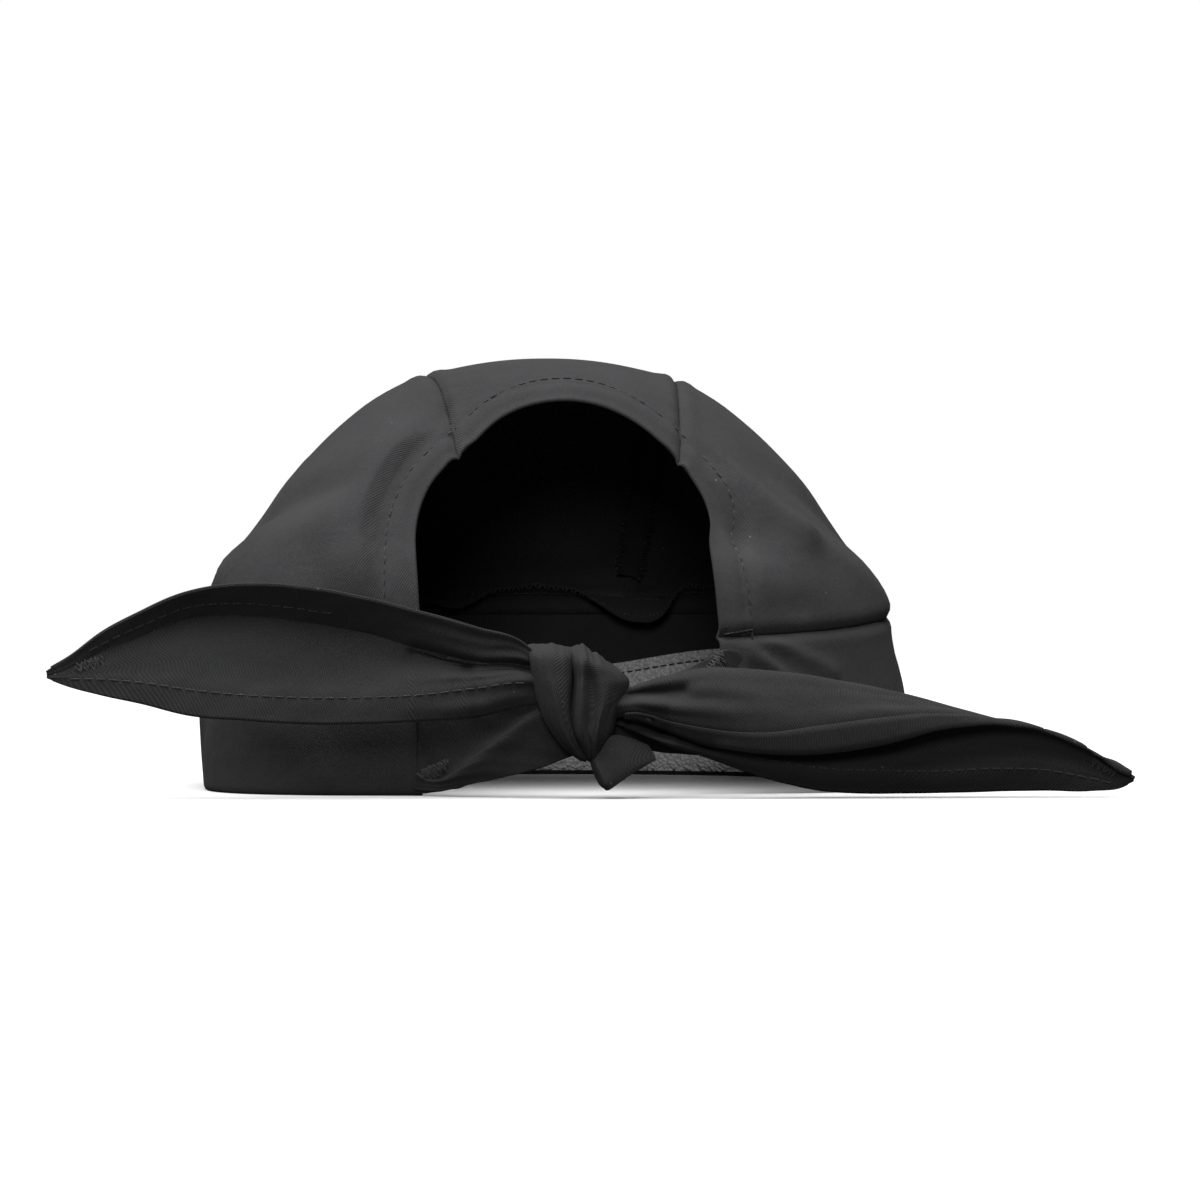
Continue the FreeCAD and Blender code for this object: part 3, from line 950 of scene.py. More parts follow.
def frayed(length, seed, rough=0.25):
    """Uneven width of a raw edge: seeded small steps, smoothed over four points."""
    rng = np.random.default_rng(seed)
    small = np.convolve(rng.normal(0, 1, length + 6), np.ones(4) / 4, "same")[3:-3]
    return rough * small


def make_allowances(lines, finish, thread, dark):
    """Raw seam edges inside the crown: one above the band all round, which has gone wavy in
    front, and one along each crown seam, each overlocked with thread."""
    angles = np.linspace(-1.02, math.pi + 1.02, 420)
    seam = seam_line(angles)
    front = ease(seam[:, 1], 20, 66)
    wavy = curve_through(np.clip(seam[:, 0], -60, 70), EDGE_PLACES, EDGE_HEIGHTS)
    top = 5.0 + 1.2 * np.sin(angles * 17) * (1 - front) + (wavy - 5.0) * front + frayed(420, 3)
    rows = []
    for part, depth in EDGE_STRIP:
        over = np.maximum(part, 0)
        rise = np.where(part < 0, part * 7.0, 6.5 * over + (top - 6.5) * over**2)
        points = seam - outward(seam) * (depth + 2.2 * over**2 * front)[:, None]
        points[:, 2] = seam[:, 2] + rise
        rows.append(settle(points, CROWN_FOLDS))
    grid = np.array(rows)
    node = "band_seam_allowance"
    cloth_piece(node + "_cloth", grid, -outward(grid), finish, "cap", [node], 0.5)
    inner = unit(-outward(grid[-2]))
    edge = zigzag(grid[-2] + inner * 0.55, inner, 1.5, 1.3)
    line = row_of_stitches(grid[4] + inner * 0.55, inner)
    thread_piece("band_seam_overlock_thread", *joined(edge, line), thread, "cap", [node])
    for side, name in ((-1, "crown_left_seam_allowance"), (1, "crown_right_seam_allowance")):
        share = np.linspace(0.09, 0.95, 220)
        middle = at_shares(lines[side]["seam"], share)
        way = unit(np.gradient(middle, axis=0))
        across = unit(np.cross(way, outward(middle)))
        rows = []
        for place in (-3.6, -1.8, 0, 1.8, 3.6):
            raw = abs(place) > 3
            shift = np.full(220, float(place))
            if raw:
                shift = shift + frayed(220, 7 + side, 0.5) * np.sign(place)
            points = on_crown(middle + across * shift[:, None])
            curl = 1.35 + 0.05 * place**2 + 0.25 * np.sin(share * 60) * raw
            rows.append(crown_layer(points, np.broadcast_to(curl, len(points))))
        grid = np.array(rows)
        cloth_piece(name + "_cloth", grid, -outward(grid), finish, "cap", [name], 0.4)
        inner = -outward(grid[0])
        edges = [zigzag(grid[row] + inner * 0.45, inner, 1.8, 1.1) for row in (0, -1)]
        thread_piece(name + "_thread", *joined(*edges), dark, "cap", [name])


# ---------------------------------------------------------------- band


def band_angles():
    """Angles of the band's two ends, at the legs of the opening."""
    foot = behind(np.array([OPENING_HALF, -OPENING_HALF]), np.full(2, SEAM_BACK))
    right = math.atan2(foot[0, 1], foot[0, 0])
    left = math.atan2(foot[1, 1], foot[1, 0]) % (2 * math.pi)
    return right, left


def make_band(looks):
    """Outer cloth with rolled lower rim and ends, stiffener and lining."""
    right, left = band_angles()
    angle = np.linspace(right, left, 340)
    roll = [(1.4, 1.5), (0.35, 1.2), (0.0, 0.75), (0.15, 0.3), (0.7, 0.05)]
    heights = np.concatenate([np.linspace(0.045, 0.9, 22), [0.93, 0.955, 0.975, 0.99, 1.0]])
    rows = []
    for rise, depth in roll:
        share = rise / seam_line(angle)[:, 2]
        rows.append(band_layer(angle, share, np.full(len(angle), depth)))
    for share in heights:
        depth = 1.0 * bell((1 - share) * SEAM_SIDE, 1.1) - 0.35 * bell((1 - share) * SEAM_SIDE - 3, 1.8)
        rows.append(band_layer(angle, np.full(len(angle), share), np.full(len(angle), depth)))
    grid = np.array(rows)
    out = outward(grid)
    way = unit(np.gradient(grid, axis=1))
    turned = [(0.8, 1.45), (0.1, 1.25), (-0.25, 0.8), (-0.2, 0.3)]
    first = [grid[:, 0] + way[:, 0] * go - out[:, 0] * deep for go, deep in turned]
    last = [grid[:, -1] - way[:, -1] * go - out[:, -1] * deep for go, deep in turned[::-1]]
    grid = np.concatenate([np.stack(first, 1), grid, np.stack(last, 1)], 1)
    finish = looks["band_twill"]
    outer = cloth_piece("band_outer_cloth", grid, outward(grid), finish, "cap", ["band_outer"])
    inner_angle = np.linspace(right + 0.012, left - 0.012, 260)
    layers = [
        ("band_interfacing", "stiffener", 0.75, 0.3, 0.05, 0.94),
        ("band_lining", "lining_twill", 1.25, 0.45, 0.012, 0.975),
    ]
    for node, slot, depth, thick, low, high in layers:
        rows = [
            band_layer(inner_angle, np.full(260, share), np.full(260, depth))
            for share in np.linspace(low, high, 16)
        ]
        grid = np.array(rows)
        toward = -outward(grid) if node == "band_lining" else outward(grid)
        if node == "band_lining":
            grid = grid + toward * thick
        cloth_piece(node + "_cloth", grid, toward, looks[slot], "cap", [node], thick)


def make_sweatband(looks):
    """Towelling inside the front of the band. Its section is a soft rounded bar, its loops are
    small seeded bumps, and its top edge rises a little towards the sides."""
    low_angle, high_angle = 0.06, math.pi - 0.06
    angle = np.linspace(low_angle, high_angle, 520)
    x = plan_radius(angle) * np.cos(angle)
    top = 31.0 + 5.5 * ease(np.abs(x), 12, 60)
    around = np.concatenate([np.linspace(0, 1, 46), np.linspace(1, 0, 8)])
    face = np.concatenate([np.ones(46), np.zeros(8)])
    rng = np.random.default_rng(11)
    thick = size("terry")
    rows = []
    for share, inner in zip(around, face):
        crown = (1 - (2 * share - 1) ** 8) * (1 - 0.45 * bell(share - 0.9, 0.03))
        loops = rng.normal(0, 0.11, len(angle)) * inner
        depth = 1.85 + inner * (thick * crown + loops)
        height = 1.2 + (top - 1.2) * share
        rows.append(band_layer(angle, height / seam_line(angle)[:, 2], depth))
    grid = np.array(rows)
    ends = np.linspace(0.35, 1, 3)
    centre = grid.mean(0)
    closed_start = [centre[0] + (grid[:, 0] - centre[0]) * e for e in (0.0, *ends[:-1])]
    closed_end = [centre[-1] + (grid[:, -1] - centre[-1]) * e for e in (*ends[:-1][::-1], 0.0)]
    grid = np.concatenate([np.stack(closed_start, 1), grid, np.stack(closed_end, 1)], 1)
    grid = np.concatenate([grid, grid[:1]], 0)
    toward = grid - np.concatenate([np.repeat(centre[:1], 3, 0), centre, np.repeat(centre[-1:], 3, 0)])[None]
    finish = looks["towelling"]
    band = cloth_piece("sweatband_terry", grid, toward, finish, "cap", ["sweatband"], 0.0)
    share = (top - 3.0) / seam_line(angle)[:, 2]
    line = band_layer(angle, share, np.full(len(angle), 1.95 + thick * 0.72))
    row = row_of_stitches(line, -outward(line), 2.6, 2.1)
    thread_piece("sweatband_stitching_thread", *row, looks["tie_thread"], "cap", ["sweatband_stitching"])


# ---------------------------------------------------------------- ties

LEFT_STRAP = {
    -43.0: [(-78.6, 0.9), (-78.2, 2.6), (-77.8, 5.0), (-77.4, 10.0), (-77.0, 22), (-76.6, 34.6)],
    -38.4: [(-80.6, 0.5), (-80.7, 2.0), (-80.8, 4.0), (-80.8, 9.0), (-80.8, 22), (-80.6, 36)],
    -33.0: [(-84.8, 1.0), (-85.2, 2.2), (-85.0, 3.8), (-82.0, 5.4), (-82.6, 20), (-84.0, 34.5)],
    -25.0: [(-89.8, 3.0), (-90.2, 5.4), (-90.0, 8.4), (-86.0, 10.2), (-86.4, 21), (-88.6, 31.5)],
    -17.0: [(-94.2, 4.9), (-94.8, 9.2), (-94.8, 14.4), (-90.6, 16.2), (-90.8, 23), (-92.4, 29)],
    -9.0: [(-97.6, 7.0), (-98.8, 12.8), (-99.4, 19.8), (-96.0, 21.6), (-96.0, 25), (-96.6, 27.5)],
    -1.0: [(-98.0, 10.0), (-99.0, 14.0), (-100.4, 20.0), (-98.6, 23), (-98.0, 25), (-97.0, 26.5)],
}
RIGHT_STRAP = {
    1.0: [(-97.5, 13.0), (-98.5, 15.0), (-99.2, 18.0), (-98.4, 21.5), (-97.2, 24.0)],
    8.0: [(-96.0, 12.6), (-98.2, 15.0), (-99.0, 18.5), (-98.0, 22.0), (-96.4, 24.6)],
    16.0: [(-91.5, 11.4), (-94.0, 14.5), (-95.2, 18.5), (-94.2, 23.0), (-91.6, 26.4)],
    25.0: [(-87.0, 10.2), (-89.4, 14.0), (-90.6, 19.0), (-89.6, 25.0), (-87.0, 29.8)],
    33.0: [(-83.0, 9.6), (-84.8, 14.5), (-85.2, 20.0), (-84.6, 27.0), (-82.8, 33.2)],
    38.2: [(-80.4, 9.4), (-80.5, 16.0), (-80.5, 22.0), (-80.4, 28.0), (-80.2, 35.5)],
    43.0: [(-78.2, 9.8), (-77.6, 16.0), (-77.2, 22.0), (-77.0, 28.0), (-76.8, 34.6)],
}
BACKWARD = np.array([0.0, -1.0, 0.0])


def tied(table, columns, count):
    """Surface of a tie through its table of sections."""
    return net(list(table), list(table.values()), columns, count)


def creased(grid, depth, spacing, lean):
    """Small creases that run along a tie: sines of the place across, leaning with X."""
    rows = np.arange(grid.shape[0])[:, None] / grid.shape[0]
    phase = rows * spacing + grid[..., 0] * lean
    height = depth * (np.sin(phase * 6.3) + 0.6 * np.sin(phase * 14.1 + 1.7))
    return grid + grid_normals(grid, BACKWARD) * (height * fold_strength())[..., None]


def make_straps(looks):
    """Ties between the band's ends and the knot, with the rough stitching at their roots."""
    finish, thread = looks["tie_twill"], looks["tie_thread"]
    sides = [
        ("left_strap", LEFT_STRAP, (-36.6, 4.5), (-31.0, 7.5), 0.00125),
        ("right_strap", RIGHT_STRAP, (33.5, 29.5), (36.5, 33.5), 0.001),
    ]
    for name, table, tack_start, tack_end, area in sides:
        grid = creased(tied(table, 90, 60), 0.12, 3.0, 0.06)
        strap = cloth_piece(name + "_cloth", grid, BACKWARD, finish, "cap", [name], 1.0)
        flat = grid[..., [0, 2]].reshape(-1, 2)
        ends = []
        for place in (tack_start, tack_end):
            nearest = np.linalg.norm(flat - np.array(place), axis=1).argmin()
            ends.append(grid.reshape(-1, 3)[nearest] + BACKWARD * 0.25)
        clump = bartack(ends[0], ends[1], BACKWARD, 3.4, 16)
        long = bartack(ends[0] + [0.5, 0, 1.4], ends[1] + [0.5, 0, 1.0], BACKWARD, 1.8, 9)
        thread_piece(name + "_bartack_thread", *joined(clump, long), thread, "cap", [name + "_bartack"], 0.2)


# the knot's folds from behind its top, over its front and down to its foot, left to right
LEFT_FOLD = [
    [(-10.7, -91, 28.8), (-8.4, -90.6, 29.5), (-5.5, -90.4, 29.8),
        (-3.1, -90.6, 29.8), (-0.6, -91, 29.5)],
    [(-11.4, -94.5, 34.5), (-8.8, -94, 35), (-6, -93.8, 35), (-3.4, -94, 34.8), (-0.9, -94.5, 34.4)],
    [(-11.9, -100, 36.6), (-9.4, -100.4, 36.9), (-6.5, -100.6, 36.8),
        (-3.9, -100.6, 36.5), (-1.5, -100.2, 35.9)],
    [(-11.9, -104.8, 34), (-9.5, -107.2, 34.2), (-6.8, -108.4, 34.2),
        (-4.2, -108.4, 34), (-2, -106.2, 33.5)],
    [(-11.2, -105.2, 28.8), (-8.9, -108.8, 28.8), (-6.2, -110.2, 28.8),
        (-3.6, -109.8, 28.8), (-1.7, -106.2, 28.8)],
    [(-10.3, -105, 24), (-7.9, -108.9, 24), (-5.4, -110.6, 24), (-3.3, -110, 24), (-1.9, -106, 24)],
    [(-8.5, -104.6, 19.1), (-6.5, -108.4, 19.1), (-4.5, -110, 19.2),
        (-2.9, -109.4, 19.1), (-2, -106, 19.1)],
    [(-6, -104, 14.9), (-4.5, -107.4, 15), (-3, -108.8, 15), (-1.7, -108.2, 15), (-0.8, -105.4, 14.9)],
    [(-3, -103.2, 11.4), (-1.9, -105.8, 11.5), (-0.9, -106.8, 11.5),
        (0.2, -106.2, 11.5), (1.1, -104.4, 11.4)],
    [(0.9, -101.6, 8.8), (1.4, -103.2, 8.9), (2, -104, 8.9), (2.6, -103.6, 8.9), (3.2, -102.8, 8.9)],
    [(1.4, -97.5, 10.6), (1.9, -97.5, 10.6), (2.5, -97.5, 10.6), (3.1, -97.5, 10.5), (3.5, -97.5, 10.5)],
]
# this fold has a smaller one inside it
RIGHT_FOLD = [
    [(-1.1, -91, 28.8), (0.6, -90.6, 29.3), (2.6, -90.4, 29.3),
        (4.6, -90.4, 28.9), (6.3, -90.6, 28.5), (7.5, -91, 28.1)],
    [(-1.9, -94.5, 33.7), (0.1, -94, 34.4), (2.2, -93.8, 34.4),
        (4.3, -94, 33.7), (6.3, -94.4, 32.7), (7.8, -95, 31.7)],
    [(-2.3, -101.4, 35.4), (-0.5, -101.8, 36.6), (1.5, -101.8, 36.4),
        (3.8, -101.6, 34.9), (6.1, -101.2, 33.4), (8.3, -100.4, 31.9)],
    [(-1.9, -105.8, 32.6), (-0.5, -110, 33.1), (1.6, -110.4, 33),
        (4, -109.6, 32.3), (6.8, -107.6, 31.5), (9.9, -103.4, 30.5)],
    [(-1.4, -105.6, 28.5), (-0, -111.6, 28.7), (1.9, -109.4, 28.6),
        (5.1, -111, 28.4), (8.7, -108.6, 28.3), (12.1, -102.8, 28.2)],
    [(-1.4, -105.6, 26), (-0.1, -112.2, 26.1), (2.2, -109.2, 25.9),
        (5.3, -111.2, 25.8), (8.5, -108.8, 25.6), (11.7, -102.8, 25.6)],
    [(-1.9, -105.6, 22.6), (-0.2, -112.2, 22.6), (2.6, -109.4, 22.6),
        (5.3, -111.2, 22.6), (7.8, -108.8, 22.6), (10.4, -103, 22.7)],
    [(-2.3, -105.6, 19.1), (-0.4, -111.6, 19.2), (2.3, -109.6, 19.1),
        (4.6, -110.8, 19.2), (6.9, -108.4, 19.1), (9.1, -103.4, 19)],
    [(-1.9, -105.4, 15.2), (-0.1, -110.4, 15.3), (2.1, -109.4, 15.3),
        (4, -109.8, 15.3), (6, -107.6, 15.2), (7.9, -103.4, 15.1)],
    [(0.2, -104.6, 11.6), (1.5, -107.8, 11.6), (2.7, -107.8, 11.6),
        (3.7, -107.4, 11.6), (4.9, -105.8, 11.6), (6.1, -103.2, 11.5)],
    [(2.5, -103, 9), (2.8, -104.6, 9), (3.2, -104.8, 9.1),
        (3.7, -104.6, 9), (4.1, -104, 9), (4.6, -102.8, 9)],
    [(2.9, -97.5, 10.8), (3.3, -97.5, 10.8), (3.8, -97.5, 10.8),
        (4.2, -97.5, 10.8), (4.6, -97.5, 10.8), (5, -97.5, 10.8)],
]
# the corner that hangs below; its left edge is rolled back
LOWER_CORNER = [
    [(2.4, -104.4, 9.6), (3.4, -106.4, 9.6), (4.5, -106.6, 10.8),
        (7.7, -105.6, 14.9), (12, -104.6, 14.5), (16.8, -103.6, 12.6)],
    [(3.1, -104.2, 7.1), (4.3, -107.8, 6.9), (6, -107.2, 7.6),
        (10.1, -106.8, 10.5), (13.8, -106, 11.3), (17.6, -104.6, 11)],
    [(4.6, -104.4, 3.6), (5.7, -108, 3.6), (7.4, -107.4, 4.7),
        (11, -107.2, 7.2), (14.3, -106.6, 8.4), (18.1, -105.2, 9.9)],
    [(6.2, -105.2, 2.1), (6.5, -106.8, 2), (7.5, -106.8, 2.4),
        (10, -106.8, 4.2), (13.2, -106.4, 6.3), (18.3, -105.4, 9.2)],
]


def draped(control, rows, columns):
    """Surface through a net of points, with smooth curves both ways."""
    control = np.asarray(control, float)
    down = curve_through(np.linspace(0, len(control) - 1, rows), np.arange(len(control)), control)
    places = np.arange(control.shape[1])
    return curve_through(np.linspace(0, places[-1], columns), places, down.swapaxes(0, 1)).swapaxes(0, 1)


def make_knot(looks):
    """The knot: two folds that cross its front, the gathered cloth inside them, and the corner
    of a tie that hangs out below."""
    finish = looks["tie_twill"]
    folds = [
        ("knot_left_fold", LEFT_FOLD, "knot_left_wrap", 0.22, 2.0),
        ("knot_right_fold", RIGHT_FOLD, "knot_right_wrap", 0.28, 3.0),
    ]
    for name, control, node, deep, lines in folds:
        grid = draped(control, 150, 90)
        place = np.linspace(0, 1, 90)[None]
        down = np.linspace(0, 1, 150)[:, None]
        phase = place * 2 * math.pi * lines
        crease = np.sin(phase + 5 * down) + 0.5 * np.sin(phase * 2.3 - 7 * down)
        height = deep * crease * np.sin(math.pi * place) * fold_strength()
        grid = grid + unit(grid - KNOT) * height[..., None]
        cloth_piece(name, grid, unit(grid - KNOT), finish, "cap", [node], 1.0)
    turn = np.linspace(0, 2 * math.pi, 97)[None]
    lift = np.linspace(0, math.pi, 49)[:, None]
    pleats = 1 + 0.06 * np.sin(turn * 9) * np.sin(lift)
    x = 10.6 * np.cos(lift) + 0 * turn
    y = 6.2 * np.sin(lift) * np.cos(turn) * pleats
    z = 8.8 * np.sin(lift) * np.sin(turn) * pleats
    ball = np.stack([x, y, z], -1)
    centre = KNOT + np.array([-0.4, 0.6, 2.0])
    cloth_piece("knot_gathers", ball + centre, ball, finish, "cap", ["knot_core"], 0.0)
    grid = draped(LOWER_CORNER, 50, 80)
    node = "knot_lower_corner"
    cloth_piece(node + "_cloth", grid, BACKWARD, finish, "cap", [node], 0.9)


LEFT_TAIL = {
    -3.0: [(-100, 27), (-100.4, 26.4), (-100.6, 25.6), (-100.8, 25),
        (-101, 24.4), (-101.2, 23.6), (-101.2, 22.8), (-101, 21.4)],
    -8.0: [(-102.4, 32.4), (-102.8, 31.2), (-102.4, 30), (-102.6, 29.3),
        (-102.6, 28.8), (-103.4, 28), (-104, 26.4), (-103, 22.4)],
    -13.0: [(-104.5, 37), (-104.2, 34.5), (-102.4, 31.8), (-102.2, 31.2),
        (-103.4, 30.6), (-105, 30), (-106, 27.5), (-104.5, 22)],
    -24.0: [(-104.9, 40.6), (-103.8, 36.2), (-100.9, 31.8), (-100.9, 32.2),
        (-102, 31.2), (-105, 29.8), (-107, 26.4), (-106, 19.4)],
    -38.0: [(-105.2, 44.1), (-102.3, 40), (-99, 35.4), (-100.4, 35.4),
        (-100.8, 32.4), (-104.3, 29.3), (-107, 24.7), (-107, 18.5)],
    -52.0: [(-106, 47.6), (-101.8, 43.6), (-98, 39.6), (-99, 39.4),
        (-100.8, 34.2), (-103.6, 28.6), (-106.8, 24.1), (-107.5, 18)],
    -66.0: [(-106.2, 49.8), (-101.8, 45.8), (-97.8, 42), (-98.4, 41.6),
        (-101.7, 35), (-104.2, 28.6), (-106.8, 24.1), (-107.6, 18)],
    -80.0: [(-105.8, 50.5), (-101.8, 47), (-98.2, 43.4), (-98.6, 42.8),
        (-102.2, 36), (-104.6, 29.5), (-106.6, 24.8), (-107.3, 18.9)],
    -92.0: [(-105.6, 48.6), (-102.2, 46), (-99.4, 43.2), (-99.6, 42.3),
        (-102.8, 36.4), (-104.6, 30.6), (-106, 26), (-106.6, 19.9)],
    -103.0: [(-105.1, 44.2), (-102.9, 41.6), (-101, 39), (-101, 38.2),
        (-103.1, 34.1), (-104.4, 30.4), (-105.4, 27.6), (-105.6, 22.6)],
    -113.0: [(-105, 38.8), (-103.8, 36.8), (-102.9, 34.8), (-102.9, 33.8),
        (-103.4, 31.8), (-104, 30), (-104.6, 28.4), (-104.8, 24.8)],
    -120.0: [(-104.4, 33.6), (-103.9, 32.6), (-103.6, 31.6), (-103.6, 31),
        (-103.8, 30), (-104, 29.2), (-104.2, 28.5), (-104.2, 26.6)],
    -125.3: [(-104, 29.9), (-103.9, 29.7), (-103.9, 29.5), (-103.9, 29.4),
        (-103.9, 29.2), (-104, 29), (-104, 28.8), (-104, 28.6)],
}
RIGHT_TAIL = {
    3.0: [(-101, 19.6), (-101.4, 20.4), (-101.4, 21.6), (-101.2, 22.4), (-101, 23),
        (-100.6, 22.4), (-100.2, 21), (-100, 20), (-100, 19)],
    8.0: [(-104, 19.6), (-104.6, 20.8), (-104.6, 22.4), (-104, 23.8), (-103, 24.6),
        (-102.2, 23.6), (-101.6, 21.6), (-101.6, 19.6), (-101.5, 18)],
    13.5: [(-105.5, 19.6), (-106.6, 21.4), (-107, 23.4), (-105.6, 25.4), (-104, 26.6),
        (-103, 25), (-103.2, 21.6), (-104.4, 18.6), (-104, 16.4)],
    21.0: [(-106.8, 17), (-108.3, 19.4), (-108.6, 22.8), (-106.6, 26.6), (-104.5, 28.9),
        (-103, 26), (-103.5, 20.5), (-105.6, 15.6), (-105, 12.4)],
    30.0: [(-107.5, 13.6), (-109.5, 17.6), (-109.8, 22.6), (-107.4, 27.8), (-104.6, 30.7),
        (-102, 27), (-102.4, 19), (-105.2, 12.6), (-103.6, 9.8)],
    43.0: [(-108.5, 11.4), (-110.2, 16.5), (-109.8, 21.8), (-107.4, 26.8), (-104.6, 30.2),
        (-100.8, 26), (-101.3, 17), (-104, 9.6), (-101.6, 5.2)],
    58.0: [(-109.2, 11.2), (-110.4, 18.2), (-109, 22.2), (-107, 25.8), (-104.6, 28.4),
        (-100.1, 24.5), (-100.3, 15), (-103, 7), (-100, 1.6)],
    72.0: [(-109.6, 13.2), (-110, 19.8), (-108.4, 22.2), (-106.6, 24.4), (-104.8, 25.8),
        (-100.5, 22.5), (-100.3, 14), (-102.6, 6.4), (-99.6, 0.8)],
    86.0: [(-109.2, 16.6), (-108.6, 20.2), (-107.4, 21.4), (-106.2, 22), (-105, 22.2),
        (-101.3, 19.6), (-100.5, 12.6), (-102.4, 6.2), (-99.2, 0.9)],
    100.0: [(-107.8, 17.4), (-107, 18.3), (-106.4, 18.6), (-105.7, 18.6), (-105, 18.4),
        (-102.1, 16.4), (-101.1, 11.6), (-102.1, 6.8), (-99.2, 1.2)],
    113.0: [(-106.4, 14.9), (-106, 15.1), (-105.7, 15.2), (-105.4, 15.2), (-105, 15),
        (-102.8, 13.2), (-101.8, 9.8), (-102.2, 6.4), (-99.8, 1.4)],
    124.0: [(-105.6, 10.1), (-105.4, 10.3), (-105.2, 10.4), (-105, 10.3), (-104.8, 10.2),
        (-103.5, 9), (-103, 6.6), (-102.9, 4.4), (-101.8, 1.4)],
    131.0: [(-104.8, 6.1), (-104.7, 6.2), (-104.6, 6.2), (-104.5, 6.1), (-104.4, 6),
        (-104.1, 5.4), (-103.8, 4.2), (-103.7, 3.2), (-103.6, 2.3)],
    133.8: [(-104.3, 4.5), (-104.2, 4.5), (-104.2, 4.5), (-104.2, 4.4), (-104.2, 4.4),
        (-104.1, 4.2), (-104, 4), (-104, 3.9), (-104, 3.8)],
}


# creases that run out of the knot: start, end, height and width of each
LEFT_CREASES = [
    ((-38.8, -102.0, 34.5), (-26.3, -102.5, 30.8), -2, 1.6),
    ((-26.3, -102.5, 30.8), (-13.0, -102.5, 30.2), -1.6, 1.3),
    ((-24.3, -104.0, 31.6), (-12.4, -104.0, 33.7), 0.8, 1.6),
    ((-20.8, -105.0, 26.0), (-11.0, -104.0, 28.8), 0.5, 1.5),
    ((-19.5, -106.0, 21.9), (-10.4, -105.0, 24.0), -0.6, 1.6),
]
RIGHT_CREASES = [
    ((12.0, -104.5, 24.5), (24.8, -106.0, 25.5), -3.2, 1.5),
    ((10.5, -105.0, 21.8), (19.4, -107.5, 22.7), 1.2, 1.4),
    ((9.5, -104.5, 18.5), (20.4, -107.5, 16.0), -3.4, 1.5),
    ((20.4, -107.5, 16.0), (31.2, -108.5, 12.7), -2.2, 1.8),
    ((10.6, -104.5, 15.6), (22.2, -107.0, 12.7), 1.2, 1.3),
    ((15.4, -105.0, 12.1), (24.3, -107.0, 10.2), -1.2, 1.4),
]


def hem_strip(grid, rows):
    """Turned hem behind a tail's edge: from the edge round to a strip parallel to the cloth. rows
    are the grid's rows from the edge inwards."""
    normal = grid_normals(grid, BACKWARD)
    edge, second = grid[rows[0]], grid[rows[1]]
    out = unit(edge - second)
    turned = [edge - normal[rows[0]] * 0.3 + out * 0.12, edge - normal[rows[0]] * 0.75 + out * 0.1]
    for row in rows[1:]:
        turned.append(grid[row] - normal[row] * 0.85)
    return np.array(turned)


def tail_pieces(side, table, hinge, stitched, hems, looks, tack):
    """One tail: its cloth, the hems behind its long edges, their stitches and its bar tack."""
    sign = -1 if side == "left" else 1
    columns, count = 200, 72
    per = (count - 1) / (len(next(iter(table.values()))) - 1)
    grid = creased(tied(table, columns, count), 0.07, 2.0, 0.035)
    radiating = bell(np.abs(grid[..., 0] - KNOT[0]) - 22, 15)
    rows = np.arange(count)[:, None] / count
    pleats = 0.45 * np.sin(rows * 34 + sign * grid[..., 0] * 0.05) + 0.3 * np.sin(rows * 61 + 1)
    height = radiating * pleats
    shallow = np.array([1, 0.3, 1])
    for start, end, *shape in LEFT_CREASES if side == "left" else RIGHT_CREASES:
        height = height + ridge(grid * shallow, start * shallow, end * shallow, *shape)
    grid = grid + BACKWARD * (height * fold_strength())[..., None]
    body = side + "_tail"
    reach = np.array([sign * 9.0, 0, 0])
    rides = (body, hinge - reach * 0.9, hinge + reach)
    cloth = cloth_piece(body + "_cloth", grid, BACKWARD, looks["tie_twill"], rides, [body])
    start = int(0.06 * columns)
    trimmed = grid[:, start:-2]
    strips = []
    for low, high in hems:
        step = 1 if high > low else -1
        inward = list(range(int(round(low * per)), int(round(high * per)) + step, step))
        strips.append(hem_strip(trimmed, inward[:: 2] if len(inward) > 6 else inward))
    for index, strip in enumerate(strips):
        name = f"{body}_hem_{'upper' if index == 0 else 'lower'}"
        node, finish = body + "_hem", looks["tie_twill"]
        cloth_piece(name, strip, -BACKWARD, finish, rides, [node], 0.4)
    normals = grid_normals(grid, BACKWARD)
    lines = []
    for place, begin, end in stitched:
        row = int(round(place * per))
        first, last = int(begin * columns), int(end * columns)
        line = grid[row, first:last] + normals[row, first:last] * 0.1
        lines.append(row_of_stitches(line, normals[row, first:last]))
    thread = looks["tie_thread"]
    node = body + "_stitching"
    threads = [thread_piece(node + "_thread", *joined(*lines), thread, rides, [node])]
    flat_grid = grid.reshape(-1, 3)
    ends = []
    for place in tack:
        nearest = np.linalg.norm(flat_grid[:, [0, 2]] - np.array(place), axis=1).argmin()
        ends.append(flat_grid[nearest] + BACKWARD * 0.25)
    wide = bartack(ends[0], ends[1], BACKWARD, 2.6, 12)
    narrow = bartack(ends[0] + [0, 0, 1.2], ends[1] + [0, 0, 0.8], BACKWARD, 1.6, 8)
    node = body + "_bartack"
    threads.append(thread_piece(node + "_thread", *joined(wide, narrow), thread, rides, [node], 0.2))


def make_tails(looks):
    """Both tails, with the rows of their grids that are stitched and hemmed."""
    tail_pieces(
        "left", LEFT_TAIL, LEFT_HINGE, [(6, 0.08, 0.97), (1.15, 0.45, 0.93)], [(0, 1.15), (7, 6)],
        looks, ((-118.0, 30.5), (-112.5, 32.5)),
    )
    tail_pieces(
        "right", RIGHT_TAIL, RIGHT_HINGE, [(1, 0.14, 0.66), (7, 0.3, 0.97)], [(0, 1), (8, 7)],
        looks, ((124.0, 8.8), (129.5, 6.0)),
    )


# ---------------------------------------------------------------- stage

CAMERA = np.array([-70.0, -997.6, 32.0])
CAMERA_TURN = 4.8
CAMERA_TILT = 0.97
CAMERA_LENS = 113.2


